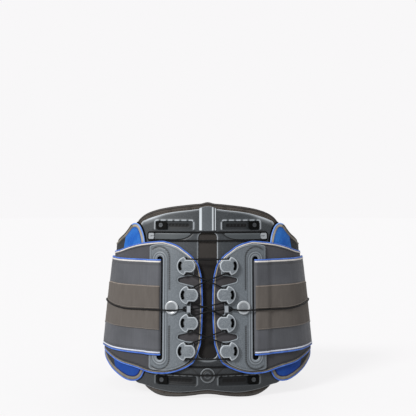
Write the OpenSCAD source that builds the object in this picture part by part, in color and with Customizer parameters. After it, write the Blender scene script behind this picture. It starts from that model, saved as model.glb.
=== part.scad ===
/* [Torso shape] */
// Radius of the back and front arcs at the middle height
arc_r = 212; // [206:1:218]
// Radius of the two side arcs at the middle height
side_r = 82; // [80:1:86]
// Angle from the back centre at which an arc meets its neighbour
turn = 30.5; // [30:0.5:31]
// Height at which the radii hold
mid_z = 133.5; // [132:0.5:135]
// Growth of the radii for each millimetre downward
flare = 0.1087; // [0.1:0.0001:0.115]

/* [Layers, outward from the body] */
// Thickness of the padded lining
pad_t = 7; // [6:0.5:7]
// Thickness of the rigid back frame
frame_t = 3; // [2.6:0.1:3]
// Thickness of a wing's fabric
wing_t = 2.5; // [2:0.1:2.5]
// Thickness of a D-shaped plate
plate_t = 3; // [2.4:0.1:3]
// Thickness of an elastic strap
strap_t = 2.5; // [2:0.1:2.5]
// Thickness of the velour band on a strap
velour_t = 1.2; // [0.8:0.1:1.2]

/* [Back frame] */
// Half width of the centre window
window_x = 14.5; // [12:0.5:15]
// Lower edge of the centre window
window_lo = 56.4; // [54:0.2:60]
// Upper edge of the centre window
window_hi = 245.5; // [240:0.5:246]
// Depth of the slider recesses
recess_depth = 2; // [1.5:0.1:2]

/* [Lacing] */
// Cord diameter
cord_d = 2; // [1.6:0.1:2]
// Radius of a cord guide
guide_r = 14.2; // [13.5:0.1:14.4]
// Height of a cord guide above its plate
guide_h = 6.6; // [6.4:0.1:6.8]
// Radius of the cord's turn inside a guide
wrap_r = 9; // [8.8:0.1:9.2]

/* [Wings and straps] */
// Gap between the wings' inner edges
wing_gap = 15; // [14:0.5:18]
// Middle of the strap slot, from the centre line
slot_x = 71.5; // [71:0.5:72]
// Width of the strap slot
slot_w = 6; // [6:0.1:6.4]
// Lower edge of the strap where it leaves the slot
strap_lo = 61; // [58:1:64]
// Upper edge of the strap where it leaves the slot
strap_hi = 205; // [202:1:206]

/* [Front closure] */
// Angle of the seam where each front flap begins
seam = 133; // [133:1:134]
// Height of the front flaps at the middle
front_h = 165; // [160:1:175]
// Length of a pull handle
handle_l = 63; // [60:1:64]
// Height of a pull handle
handle_h = 44; // [40:1:46]

/* [Hidden] */
$fn = 120;

// Centres of the arcs, so that neighbouring arcs meet without a corner
arc_c = (arc_r - side_r) * cos(turn);
side_c = (arc_r - side_r) * sin(turn);
tilt = atan(flare);

// Inner and outer face of each layer, as an offset from the torso surface
gap = 0.3;
frame_in = pad_t + gap;
frame_out = frame_in + frame_t;
panel_in = frame_out + 0.6;
panel_out = panel_in + 1.7;
mesh_in = panel_out + 0.1;
mesh_out = mesh_in + 0.4;
wing_in = mesh_out + 0.5;
wing_out = wing_in + wing_t;
plate_in = wing_out + 0.1;
plate_out = plate_in + plate_t;
cord_r = cord_d / 2;
cord_w = plate_out + 2.9;
cord_over = cord_w + 1.5;
cord_under = cord_w - 1.5;

// Heights and places that several pieces share
guides = [[32, 195.1], [27.9, 151.7], [27.9, 110.1], [32, 68.6]];
pull_z = 130.9;
upper_recess = [22.4, 249.5, 81.3, 263.4];
lower_recess = [16.5, 16.2, 78.8, 29.6];
upper_slider = [63.6, 251.3, 79.8, 262.3];
lower_slider = [61, 17.8, 76.8, 28.4];
slider_h = 3.4;
screw_r = 3.4;
sheet_depth = 170;
back_turn = 36;

// Surface of the torso: angle t from the back centre, offset w outward, height z
function grow(z) = flare * (mid_z - z);
function spot(t, w, z) = abs(cos(t)) > cos(turn)
    ? let (r = arc_r + w + grow(z)) [r * sin(t), sign(cos(t)) * arc_c - r * cos(t), z]
    : let (r = side_r + w + grow(z)) [sign(sin(t)) * side_c + r * sin(t), -r * cos(t), z];
// Angle at which that surface reaches x, on the back half
function turn_at(x, w, z) = let (a = asin(min(1, abs(x) / (arc_r + w + grow(z)))))
    sign(x) * (a <= turn ? a : asin(min(1, (abs(x) - side_c) / (side_r + w + grow(z)))));
// The same surface with columns that keep their x on the back, so that they run straight up
function stand(t, w, z) = let (keep = lookup(t, [[26, 1], [42, 0]]), x = spot(t, w, mid_z)[0])
    spot(keep * turn_at(x, w, z) + (1 - keep) * t, w, z);
function by_turn(points, w) = [for (p = points) [turn_at(p[0], w, p[1]), p[1]]];
function steps(a, b, step) = let (n = ceil((b - a) / step)) [for (i = [0:n]) a + (b - a) * i / n];
function unit(v) = v / norm(v);

// Smooth closed curve through a few points
function curve(p, n = 4) = [for (i = [0:len(p) - 1], k = [0:n - 1])
    let (c = len(p), a = p[(i + c - 1) % c], b = p[i], d = p[(i + 1) % c], e = p[(i + 2) % c], u = k / n)
    b + u * (d - a) / 2 + u * u * (2 * a - 5 * b + 4 * d - e) / 2
        + u * u * u * (3 * b - a - 3 * d + e) / 2];
// Smooth open curve through a few points
function arc_through(p, n = 3) = concat([for (i = [0:len(p) - 2], k = [0:n - 1])
    let (a = p[max(i - 1, 0)], b = p[i], d = p[i + 1], e = p[min(i + 2, len(p) - 1)], u = k / n)
    b + u * (d - a) / 2 + u * u * (2 * a - 5 * b + 4 * d - e) / 2
        + u * u * u * (3 * b - a - 3 * d + e) / 2], [p[len(p) - 1]]);
// Rectangle with round corners: box is [x0, z0, x1, z1]
function round_box(box, r, n = 5) = [for (c = [[2, 3, 0], [0, 3, 90], [0, 1, 180], [2, 1, 270]], i = [0:n])
    let (a = c[2] + 90 * i / n)
    [box[c[0]] + r * (cos(a) - (c[0] == 2 ? 1 : -1)), box[c[1]] + r * (sin(a) - (c[1] == 3 ? 1 : -1))]];

// Soft layer bent round the torso, from lo(t) to hi(t) in height and from inner(t) to outer(t)
module layer(ts, lo, hi, inner, outer, upright = false) {
    n = len(ts);
    at = function (t, w, z) upright ? stand(t, w, z) : spot(t, w, z);
    points = [for (t = ts) each [at(t, inner(t), lo(t)), at(t, outer(t), lo(t)),
        at(t, outer(t), hi(t)), at(t, inner(t), hi(t))]];
    walls = [for (i = [0:n - 2], k = [0:3]) let (a = 4 * i + k, b = 4 * i + (k + 1) % 4)
        each [[a, b + 4, b], [a, a + 4, b + 4]]];
    e = 4 * (n - 1);
    polyhedron(points, concat(walls, [[0, 1, 2], [0, 2, 3], [e + 2, e + 1, e], [e + 3, e + 2, e]]));
}

// Round cord along a list of [x, y, z] points
module cord(path, r = cord_r, sides = 8) {
    n = len(path);
    rings = [for (i = [0:n - 1])
        let (ahead = unit(path[min(i + 1, n - 1)] - path[max(i - 1, 0)]),
            out = unit([path[i][0], path[i][1], 0]),
            across = unit(cross(ahead, out)), up = cross(across, ahead))
        [for (k = [0:sides - 1]) let (a = 360 * k / sides)
            path[i] + r * (cos(a) * across + sin(a) * up)]];
    points = [for (ring = rings) each ring];
    walls = [for (i = [0:n - 2], k = [0:sides - 1])
        let (a = sides * i + k, b = sides * i + (k + 1) % sides)
        each [[a, b + sides, b], [a, a + sides, b + sides]]];
    polyhedron(points, concat(walls, [[for (k = [0:sides - 1]) k]],
        [[for (k = [sides - 1:-1:0]) sides * (n - 1) + k]]));
}
// Point of a cord that is given as [x, z, offset] on the back half
function lie(p) = spot(turn_at(p[0], p[2], p[1]), p[2], p[1]);

// Band of the back or front cone between two offsets and heights
module band(inner, outer, z0, z1, from, to, side = -1) {
    translate([0, -side * arc_c, 0]) rotate([0, 0, side * 90 + from])
        rotate_extrude(angle = to - from, $fn = 180)
            polygon([[arc_r + inner + grow(z0), z0], [arc_r + outer + grow(z0), z0],
                [arc_r + outer + grow(z1), z1], [arc_r + inner + grow(z1), z1]]);
}
// Outline in x and z, drawn through the back half
module through_back(points) rotate([90, 0, 0]) linear_extrude(sheet_depth) polygon(points);
module through_front(points) mirror([0, 1, 0]) through_back(points);
// Curved plate of the back frame's cone with the given outline
module back_plate(points, inner, outer, z0 = -1, z1 = 292)
    intersection() {
        band(inner, outer, z0, z1, -back_turn, back_turn);
        through_back(points);
    }
// Stands children on the back surface, their z axis along its outward normal
module on_back(x, z, w) {
    t = turn_at(x, w, z);
    translate(spot(t, w, z)) rotate([90 - tilt, 0, t]) children();
}

// ---------- Root: lining, frame and belt body ----------
pad_top = concat(by_turn([[0, 291.8], [8.5, 290], [26, 288.3], [54, 285.5], [75, 281.8], [91, 277], [104, 270.2],
    [111, 262]], pad_t), [[40, 253]]);
pad_bottom = concat(by_turn([[0, 4.3], [26, 1.3], [49, 0], [64, 0], [80, 4], [95.8, 12]], pad_t),
    [[30.5, 26], [37, 45]]);
module back_pad() color("#5a524c")
    layer(steps(-back_turn, back_turn, 2.4), function (t) lookup(abs(t), pad_bottom),
        function (t) lookup(abs(t), pad_top), function (t) 0, function (t) pad_t);

frame_half = [[0, 284.2], [14, 283.6], [27, 280.8], [48, 278.4], [66, 275.4], [80, 271.3], [90, 268.1],
    [104, 260.8], [107, 240],
    [104, 140], [109, 45], [113, 20], [99, 14.6], [75, 9.5], [49, 6.6], [24, 8.5], [0, 11]];
frame_edge = curve(concat(frame_half, [for (i = [len(frame_half) - 2:-1:1])
    [-frame_half[i][0], frame_half[i][1]]]), 3);
module recess_cut(box) for (m = [0, 1]) mirror([m, 0, 0])
    back_plate(round_box(box, 2), frame_out - recess_depth, frame_out + 2, box[1] - 3, box[3] + 3);
module back_frame() color("#565d63")
    difference() {
        back_plate(frame_edge, frame_in, frame_out);
        through_back(round_box([-window_x, window_lo, window_x, window_hi], 6));
        recess_cut(upper_recess);
        recess_cut(lower_recess);
    }

rib_x = 13;
module centre_rib() color("#8d9499")
    back_plate([[-rib_x, 248.5], [rib_x, 248.5], [rib_x, 283], [rib_x - 4, 285.5], [4 - rib_x, 285.5],
        [-rib_x, 283]], frame_out + 0.05, frame_out + 2, 240, 290);

boss_z = 31.4;
boss_r = 10.9;
boss_h = 2.2;
module centre_boss() color("#43494d") on_back(0, boss_z, frame_out + 0.05) difference() {
    cylinder(r = boss_r, h = boss_h);
    translate([0, 0, boss_h - 0.5]) difference() {
        cylinder(r = boss_r - 1.6, h = 1);
        translate([0, 0, -0.5]) cylinder(r = boss_r - 4.6, h = 2);
    }
}

// Bollards that hold the two cord loops
hook_x = 86.4;
loop_hi = 246.2;
loop_lo = 233.3;
low_loop_hi = 43.9;
low_loop_lo = 32.6;
hook_notch = 1.2;
loop_x = 93;
module hook(z, h, half) on_back(hook_x, z, frame_out + 0.25) difference() {
    linear_extrude(h) polygon(round_box([-half, -half, half, half], 1.8));
    translate([-half, -1, h - hook_notch]) cube([half + 1, 2, hook_notch + 1]);
}
module upper_hook() color("#c9ccce") hook((loop_hi + loop_lo) / 2, 3.6, 4.6);
module lower_hook() color("#c9ccce") hook((low_loop_hi + low_loop_lo) / 2, 2.4, 4.1);

// Closed loop of cord from hook to hook: two long runs and two short turns
function half_loop(lo, hi, w, mid_w) = [for (p = concat([[0, lo, mid_w], [13, lo, mid_w]],
    [for (x = [26:13:78]) [x, lo, w]],
    [[loop_x - 3, lo, w], [loop_x, lo + 2.4, w], [loop_x, hi - 2.4, w], [loop_x - 3, hi, w]],
    [for (x = [78:-13:0]) [x, hi, w]])) lie(p)];
module cord_loop(lo, hi, w, mid_w) color("#121314") for (m = [0, 1]) mirror([m, 0, 0])
    cord(half_loop(lo, hi, w, mid_w));
loop_w = frame_out + cord_r + 0.4;
module upper_cord_loop() cord_loop(loop_lo, loop_hi, loop_w, loop_w);
module lower_cord_loop() cord_loop(low_loop_lo, low_loop_hi, loop_w, frame_out + boss_h + 1.4);

module tongue() color("#3d4246")
    back_plate([[82, 244.4], [21, 244.4], [27, 239.5], [36, 236.5], [50, 235.3], [82, 235.3]],
        frame_out + 0.1, frame_out + 1.8, 230, 250);

// Belt side panel, with an ear above and below the wing
panel_top = concat(by_turn([[97.5, 226], [99.7, 239], [102, 246.7], [105.5, 254.2], [109.4, 258.3], [113.5, 259.7],
    [118, 258.9], [122, 256], [126.6, 249.6], [132.8, 242.5], [138.9, 237.4], [144.7, 231.8]], panel_out),
    [[75, 227], [90, 225], [110, 213], [seam, 195]]);
panel_bottom = concat(by_turn([[97, 34], [98.3, 31], [102.1, 24.2], [108.5, 19.3], [115.2, 17.4], [123.9, 17.6],
    [132.9, 20.4], [142, 24.7], [151, 29.9], [158.6, 35.8], [164, 40.5]], panel_out),
    [[90, 50], [110, 40], [seam, 22]]);
module side_panel() color("#3a3d42")
    layer(concat(steps(25, 45, 2), steps(48, seam - 0.2, 5)), function (t) lookup(t, panel_bottom),
        function (t) lookup(t, panel_top), function (t) panel_in, function (t) panel_out);
module mesh_insert() color("#2f62b8") {
    layer(steps(31, 49, 2), function (t) 214, function (t) lookup(t, panel_top) - 7,
        function (t) mesh_in, function (t) mesh_out);
    layer(steps(28, 56, 2), function (t) lookup(t, panel_bottom) + 6, function (t) 62,
        function (t) mesh_in, function (t) mesh_out);
}

// Front flaps: the right one lies under the left one
flap_in = 9.6;
flap_t = 3.5;
under_end = 208;
over_end = 183;
over_lift = 6.1;
field_t = 1;
flap_low = function (t) lookup(t, [[seam, 22], [150, 0], [210, 0]]);
flap_high = function (t) lookup(t, [[seam, 195], [150, 173], [172, front_h], [188, front_h], [208, 150]]);
function flap_lift(t) = lookup(t, [[seam + 2, 0], [seam + 15, over_lift]]);
flap_start = seam + 0.2;
module under_flap() color("#3a3d42")
    layer(steps(flap_start, under_end, 5), flap_low, flap_high,
        function (t) flap_in, function (t) flap_in + flap_t);
module over_flap() color("#3a3d42")
    layer(steps(flap_start, over_end, 4.5), flap_low, flap_high,
        function (t) flap_in + flap_lift(t), function (t) flap_in + flap_t + flap_lift(t));
field_in = flap_in + flap_t;
module loop_field() color("#4a4541")
    layer(steps(160, 204, 5), function (t) 20, function (t) 140,
        function (t) field_in + gap, function (t) field_in + field_t + gap);
patch_out = flap_in + over_lift;
module patch() color("#26282b")
    layer(steps(162, 180, 5), function (t) 24, function (t) 136,
        function (t) patch_out - gap - 0.9, function (t) patch_out - gap);

// ---------- Sliders and lock screws ----------
function middle(box) = [(box[0] + box[2]) / 2, (box[1] + box[3]) / 2];
floor_w = frame_out - recess_depth;
screw_w = floor_w + 0.45;
module slider_block(box) {
    c = middle(box);
    color("#141517") difference() {
        back_plate(round_box(box, 1.2, 3), floor_w + 0.3, floor_w + slider_h, box[1] - 2, box[3] + 2);
        on_back(c[0], c[1], screw_w) translate([0, 0, -2]) cylinder(r = screw_r + 0.35, h = 8);
    }
}
module lock_screw(box) {
    c = middle(box);
    color("#8f9499") on_back(c[0], c[1], screw_w) difference() {
        cylinder(r = screw_r, h = slider_h + 0.2);
        translate([-screw_r - 1, -0.45, slider_h - 0.7]) cube([2 * screw_r + 2, 0.9, 2]);
    }
}

// ---------- Wings ----------
wing_top = concat(by_turn([[7.5, 145], [8.7, 172], [10.8, 185], [15.2, 198], [25, 210.3], [35.6, 218.6],
    [46.5, 226], [63, 231.3], [74, 232.2], [102, 229], [121.8, 224], [142.8, 216.4]], wing_out), [[90, 212],
    [108, 206]]);
wing_bottom = concat(by_turn([[7.5, 128], [9.6, 86.5], [12.9, 71], [20.2, 55.7], [35, 44], [50.8, 37],
    [66.8, 34], [88.7, 34.5], [111.5, 39.4], [136.5, 43], [163.5, 50.8]], wing_out), [[90, 54], [108, 58]]);
wing_columns = concat([for (x = [8, 9.5, 12, 16, 21, 27, 35, 44, 54, 64, 76, 88, 99])
    turn_at(wing_gap / 2 + x - 8, wing_out, mid_z)], steps(28, 108, 4));
module wing_fabric() color("#4b4d52")
    layer(wing_columns, function (t) lookup(t, wing_bottom), function (t) lookup(t, wing_top),
        function (t) wing_in, function (t) wing_out);

plate_edge = concat([[89.4, 224.5], [89.4, 41.5]],
    arc_through([[86, 39.2], [80, 38.3], [71, 37.9], [60, 38.9], [48, 42.3], [34, 49], [25, 59], [20.6, 77],
        [20.4, 100], [20.2, 131], [20.4, 165], [21, 188], [24.5, 201.5], [30.2, 209.8], [40.5, 217.8],
        [50.8, 223.4], [61.2, 226.6], [71.6, 227.7], [82, 226.8]], 2));
bay = [[45.4, 173.8], [44.2, 176.4], [41.6, 177.8], [28.6, 181.6], [10, 183], [10, 167], [28.6, 169.8],
    [41.6, 169.8], [44.2, 171.2]];
bay_sum = 262.9;
notch_x = 24.6;
module wing_plate() color("#8b9298")
    difference() {
        back_plate(plate_edge, plate_in, plate_out, 30, 235);
        through_back(round_box([slot_x - slot_w / 2, 54, slot_x + slot_w / 2, 209.5], slot_w / 2 - 0.01));
        through_back(bay);
        through_back([for (p = bay) [p[0], bay_sum - p[1]]]);
        through_back([[5, 122.8], [notch_x, 122.8], [notch_x, 140], [5, 140]]);
    }

// Cord guide: a disc with a turning channel inside, two mouths and a kidney window
channel_w = 4.2;
channel_roof = 1.5;
channel_turn = 97;
kidney_turn = 33;
mouth_w = 5.8;
module channel(turn, width, from, height) translate([0, 0, from]) rotate([0, 0, -turn])
    rotate_extrude(angle = 2 * turn) translate([wrap_r - width / 2, 0]) square([width, height]);
module guide_mouth() translate([-0.5, wrap_r + 2.2, -1]) rotate([0, 0, 30])
    translate([2 - mouth_w, -3, 0]) cube([mouth_w, 9, guide_h + 2]);
module cord_guide(place) color("#9aa1a6") on_back(place[0], place[1], plate_out + 0.05) difference() {
    cylinder(r = guide_r, h = guide_h);
    channel(channel_turn, channel_w, -1, guide_h + 1 - channel_roof);
    channel(kidney_turn, channel_w + 0.4, guide_h - channel_roof - 1, channel_roof + 2);
    for (m = [0, 1]) mirror([0, m, 0]) guide_mouth();
}

stud_x = 54.1;
stud_z = 132.5;
stud_r = 10.3;
stud_h = 3.4;
dome_r = 26;
module stud() color("#9a9fa3") on_back(stud_x, stud_z, plate_out + 0.05) intersection() {
    cylinder(r = stud_r, h = stud_h);
    translate([0, 0, stud_h - dome_r]) sphere(r = dome_r);
}
eyelet_x = 33.4;
eyelet_r = 4.2;
eyelet_bore = 2.2;
module eyelet() color("#b9bdc0") on_back(eyelet_x, pull_z, plate_out + 0.05) difference() {
    cylinder(r = eyelet_r, h = 1.8);
    translate([0, 0, -1]) cylinder(r = eyelet_bore, h = 4);
}
bridge_x = 27.7;
bridge_l = 9.6;
bridge_w = 5.4;
bridge_h = 6.8;
bridge_foot = 1.5;
module bridge() color("#d4d6d8") on_back(bridge_x, pull_z, plate_out + 0.05)
    translate([-bridge_w / 2, -bridge_l / 2, 0]) difference() {
        cube([bridge_w, bridge_l, bridge_h]);
        translate([-1, bridge_foot, -1]) cube([bridge_w + 2, bridge_l - 2 * bridge_foot, bridge_h - 1.2]);
    }

// Strap: up out of the slot, over the plate's outer edge and down onto the wing, then round the side
strap_end = 128;
strap_w = function (t) let (x = spot(min(t, 30), plate_out, mid_z)[0])
    t > 30 ? lookup(t, [[110, wing_out + 0.2], [118, wing_in + 0.2]])
        : lookup(x, [[71.2, wing_out + 0.2], [74.2, plate_out + 0.1], [91, plate_out + 0.1],
            [98, wing_out + 0.2]]);
strap_low = function (t) lookup(t, [[75, strap_lo], [strap_end, 42]]);
strap_high = function (t) lookup(t, [[95, strap_hi], [strap_end, 168]]);
strap_columns = concat([for (x = [71.2, 72.7, 74.2, 78, 84, 91, 94.5, 98, 104]) turn_at(x, plate_out, mid_z)],
    steps(30.5, strap_end, 4.5));
module strap() color("#55575c")
    layer(strap_columns, strap_low, strap_high, strap_w, function (t) strap_w(t) + strap_t, true);
velour_columns = [for (t = strap_columns) if (t > turn_at(75, plate_out, mid_z) && t < strap_end - 1) t];
module velour() color("#6e665f")
    layer(velour_columns, function (t) lookup(t, [[75, 99], [strap_end, 78]]),
        function (t) lookup(t, [[75, 165], [strap_end, 140]]),
        function (t) strap_w(t) + strap_t + 0.15, function (t) strap_w(t) + strap_t + 0.15 + velour_t, true);

// ---------- Lacing and pull cords ----------
// Where each line of the lacing crosses the centre, as [height, offset]
top_lace = [205, cord_w];
upper_cross = [[173, cord_over], [173, cord_under]];
lower_cross = [[89, cord_over], [89, cord_under]];
left_feed = [134.8, cord_over];
right_feed = [128.2, cord_over];
middle_cross = [130.8, cord_under];
bottom_lace = [58, cord_w];
meet_x = 0.2;
free_x = 17;
mouth_in = 1.8;
mouth_up = 14.6;
// Cord from the centre line to a guide's mouth: m is 1 at the upper mouth and -1 at the lower one
function run(place, m, line) = let (x = place[0] - mouth_in, z = place[1] + m * mouth_up,
        slope = (z - line[0]) / x)
    [[meet_x, line[0] + slope * meet_x, line[1]], [free_x, line[0] + slope * free_x, line[1]], [x, z, cord_w]];
function back_to(list) = [for (i = [len(list) - 1:-1:0]) list[i]];
// One strand: in at the upper mouth, round the guide and out at the lower mouth
function strand(side, place, above, below) = [for (p = concat(run(place, 1, above),
        [for (a = [5:42.5:175]) [place[0] + wrap_r * sin(a), place[1] + wrap_r * cos(a), cord_w]],
        back_to(run(place, -1, below))))
    lie([side * p[0], p[1], p[2]])];
function feed(side, line) = [for (p = [[meet_x, line[0], line[1]],
        [free_x, line[0] + (pull_z - line[0]) * free_x / notch_x, line[1]],
        [notch_x, pull_z, cord_w - 0.7]]) lie([side * p[0], p[1], p[2]])];
module lacing(side, lines, feed_line) color("#141414") {
    for (i = [0:3]) cord(strand(side, guides[i], lines[i][0], lines[i][1]));
    cord(feed(side, feed_line));
}

// Pull cord: under the bridge, over the stud and along the velour round to the front
cord_lift = velour_t + 1.5;
function pull_w(t) = strap_w(t) + strap_t + cord_lift;
pull_low = 129;
function pull_height(t) = lookup(t, [[22, pull_low], [32, 127.2], [43, 128], [50, 129.4], [62, 130.6], [78, 133.2],
    [90, 133.6], [seam, 112]]);
pull_path = concat([for (p = [[notch_x + 0.3, pull_z, cord_w - 0.7], [29, pull_z, cord_w + 0.4],
        [39, 130.4, cord_w + 0.8], [46, 129.6, cord_w + 1.7], [54, pull_low, cord_w + 1.9],
        [66, pull_low, cord_w + 2.1], [84, pull_low, cord_w + 2.5], [91, pull_low, cord_w + 2.5]]) lie(p)],
    [for (t = steps(26, strap_end - 2, 6)) spot(t, pull_w(t), pull_height(t))]);
module pull_cord() color("#141414") cord(pull_path);
handle_w = 5;
handle_z = 112;
module front_cord(from, inner) cord(front_path(handle_edge(from, inner + handle_w / 2), inner + handle_w / 2));
function front_w(t, rest) = lookup(t, [[strap_end, pull_w(strap_end)], [150, rest], [160, rest]]);
function handle_edge(from, rest) = 180 - 0.25
    - asin((arc_r * sin(from) + handle_l) / (arc_r + rest + grow(handle_z)));
function front_path(end, rest) = [for (t = steps(strap_end - 1.7, end, 4))
    spot(t, front_w(t, rest), pull_height(t))];

// ---------- Handles ----------
handle_side = 13;
handle_rail = 10;
module handle(from, inner) {
    x0 = arc_r * sin(from);
    x1 = x0 + handle_l;
    z0 = handle_z - handle_h / 2;
    z1 = handle_z + handle_h / 2;
    difference() {
        intersection() {
            band(inner, inner + handle_w, z0 - 1, z1 + 1, -42, -0.5, 1);
            through_front(round_box([x0, z0, x1, z1], 12));
        }
        through_front(round_box([x0 + handle_side, z0 + handle_rail, x1 - handle_side, z1 - handle_rail], 8));
    }
}

module left() mirror([1, 0, 0]) children();
left_handle_w = flap_in + flap_t + over_lift + 0.6;
right_handle_w = field_in + field_t + gap + 0.6;

back_pad();
back_frame();
centre_rib();
centre_boss();
left() upper_hook();  // left_upper_hook
upper_hook();  // right_upper_hook
left() lower_hook();  // left_lower_hook
lower_hook();  // right_lower_hook
upper_cord_loop();
lower_cord_loop();
left() tongue();  // left_tongue
tongue();  // right_tongue
left() side_panel();  // left_side_panel
side_panel();  // right_side_panel
left() mesh_insert();  // left_mesh_insert
mesh_insert();  // right_mesh_insert
under_flap();  // right_front_flap
loop_field();
left() slider_block(upper_slider);  // left_upper_slider
slider_block(upper_slider);  // right_upper_slider
left() slider_block(lower_slider);  // left_lower_slider
slider_block(lower_slider);  // right_lower_slider
left() lock_screw(upper_slider);  // left_upper_screw
lock_screw(upper_slider);  // right_upper_screw
left() lock_screw(lower_slider);  // left_lower_screw
lock_screw(lower_slider);  // right_lower_screw
left() wing_fabric();  // left_wing_fabric
wing_fabric();  // right_wing_fabric
left() wing_plate();  // left_plate
wing_plate();  // right_plate
left() cord_guide(guides[0]);  // left_guide_1
left() cord_guide(guides[1]);  // left_guide_2
left() cord_guide(guides[2]);  // left_guide_3
left() cord_guide(guides[3]);  // left_guide_4
cord_guide(guides[0]);  // right_guide_1
cord_guide(guides[1]);  // right_guide_2
cord_guide(guides[2]);  // right_guide_3
cord_guide(guides[3]);  // right_guide_4
left() stud();  // left_stud
stud();  // right_stud
left() eyelet();  // left_eyelet
eyelet();  // right_eyelet
left() bridge();  // left_bridge
bridge();  // right_bridge
left() strap();  // left_strap
strap();  // right_strap
left() velour();  // left_velour
velour();  // right_velour
left() pull_cord();  // left_pull_cord
pull_cord();  // right_pull_cord
lacing(-1, [[top_lace, upper_cross[0]],  // left_lacing
    [upper_cross[1], middle_cross], [right_feed, lower_cross[0]], [lower_cross[1], bottom_lace]], left_feed);
lacing(1, [[top_lace, upper_cross[1]],  // right_lacing
    [upper_cross[0], left_feed], [middle_cross, lower_cross[1]], [lower_cross[0], bottom_lace]], right_feed);
left() over_flap();  // left_front_flap
left() patch();  // hook_patch
color("#2b2d30") left() handle(178, left_handle_w);  // left_handle
color("#141414")  // left_front_cord
    left() front_cord(178, left_handle_w);
color("#2b2d30") handle(174, right_handle_w);  // right_handle
color("#141414")  // right_front_cord
    front_cord(174, right_handle_w);
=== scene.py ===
"""Lumbar support belt: its looks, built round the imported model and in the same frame.
Lengths are millimetres and angles degrees until spot() turns a place into metres."""
import math

import bpy
import numpy as np
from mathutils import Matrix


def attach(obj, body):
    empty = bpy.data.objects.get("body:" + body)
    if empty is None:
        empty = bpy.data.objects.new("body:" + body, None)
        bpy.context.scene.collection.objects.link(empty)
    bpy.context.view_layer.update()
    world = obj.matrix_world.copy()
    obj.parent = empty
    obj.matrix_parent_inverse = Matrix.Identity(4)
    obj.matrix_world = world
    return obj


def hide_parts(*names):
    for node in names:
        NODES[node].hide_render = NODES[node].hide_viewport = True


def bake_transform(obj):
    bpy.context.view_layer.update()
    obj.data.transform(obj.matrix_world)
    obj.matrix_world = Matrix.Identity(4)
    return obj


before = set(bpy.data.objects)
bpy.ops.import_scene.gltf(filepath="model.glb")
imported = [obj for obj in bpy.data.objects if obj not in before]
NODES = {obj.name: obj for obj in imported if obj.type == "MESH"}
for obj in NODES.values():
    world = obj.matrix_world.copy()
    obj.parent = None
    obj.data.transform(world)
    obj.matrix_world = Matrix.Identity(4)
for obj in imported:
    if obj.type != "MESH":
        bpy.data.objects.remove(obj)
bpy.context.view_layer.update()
MM = 0.001

# Torso shape: back and front arcs joined by two side arcs, widening downward
ARC_R = 212.0
SIDE_R = 82.0
TURN = 30.5
MID_Z = 133.5
FLARE = 0.1087
ARC_C = (ARC_R - SIDE_R) * math.cos(math.radians(TURN))
SIDE_C = (ARC_R - SIDE_R) * math.sin(math.radians(TURN))
TILT = math.atan(FLARE)

# Offsets of the layers from the torso surface, as in the CAD model
PAD_OUT = 7.0
FRAME_IN = 7.3
FRAME_OUT = 10.3
PANEL_IN = 10.9
PANEL_OUT = 12.6
WING_IN = 13.6
WING_OUT = 16.1
PLATE_OUT = 19.2
CORD_R = 1.12
CORD_STEP = 1.5
CORD_W = 22.1
STRAP_T = 2.5
VELOUR_T = 1.2
FLAP_IN = 9.6
FLAP_T = 3.5
FLAP_LIFT = 6.1
SEAM = 133.0
STRAP_END = 128.0

# Places that several pieces share, as (x, z) on the right-hand side
GUIDES = [(32.0, 195.1), (27.9, 151.7), (27.9, 110.1), (32.0, 68.6)]
GUIDE_R = 14.2
GUIDE_H = 6.6
STUD_SPOT = (54.1, 132.5)
PULL_Z = 130.9
SLOT_LO = 53.4
SLOT_HI = 209.5
HANDLE_Z = 112.0


# ---------- The torso surface ----------
def grow(z):
    return FLARE * (MID_Z - z)


def spot(t, w, z):
    """Point, in metres, at angle t from the back centre, offset w outward and height z."""
    t, w, z = np.broadcast_arrays(np.radians(t), np.asarray(w, float), np.asarray(z, float))
    on_arc = np.abs(np.cos(t)) > math.cos(math.radians(TURN))
    r = np.where(on_arc, ARC_R, SIDE_R) + w + grow(z)
    x = np.where(on_arc, 0, np.sign(np.sin(t)) * SIDE_C) + r * np.sin(t)
    y = np.where(on_arc, np.sign(np.cos(t)) * ARC_C, 0) - r * np.cos(t)
    return np.stack([x, y, z], -1) * MM


def turn_at(x, w, z):
    """Angle at which the surface reaches x on the back half."""
    x, w, z = np.broadcast_arrays(*(np.asarray(v, float) for v in (x, w, z)))
    a = np.degrees(np.arcsin(np.clip(np.abs(x) / (ARC_R + w + grow(z)), 0, 1)))
    b = np.degrees(np.arcsin(np.clip((np.abs(x) - SIDE_C) / (SIDE_R + w + grow(z)), -1, 1)))
    return np.sign(x) * np.where(a <= TURN, a, b)


def outward(t):
    t = np.radians(np.asarray(t, float))
    c = math.cos(TILT)
    return np.stack([np.sin(t) * c, -np.cos(t) * c, np.full(t.shape, math.sin(TILT))], -1)


REACH_T = np.array([-180.0, TURN - 180, -TURN, 0.0, TURN, 180 - TURN, 180.0, 180 + TURN])
REACH_S = np.concatenate([[0], np.cumsum(np.radians(np.diff(REACH_T)) * (
    np.array([ARC_R, SIDE_R, ARC_R, ARC_R, SIDE_R, ARC_R, ARC_R]) + 13.0))])
REACH_S -= REACH_S[3]


def reach(t):
    """Length round the torso, in millimetres, from the back centre to angle t."""
    return np.interp(t, REACH_T, REACH_S)


def turn_of(s):
    return np.interp(s, REACH_S, REACH_T)


def by_turn(points, w):
    """(x, z) points on the back half as (length round the torso, z)."""
    return [(float(reach(turn_at(x, w, z))), z) for x, z in points]


def by_angle(points):
    return [(float(reach(t)), z) for t, z in points]


def on_back(base):
    """Mapping of (x, z, height) to the back surface at offset base."""
    return lambda u, v, h: spot(turn_at(u, base + h, v), base + h, v)


def on_wrap(base):
    """Mapping of (length round, z, height) to the surface; base is an offset or a function of the angle."""
    def place(u, v, h):
        t = turn_of(u)
        return spot(t, (base(t) if callable(base) else base) + h, v)
    return place


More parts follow.
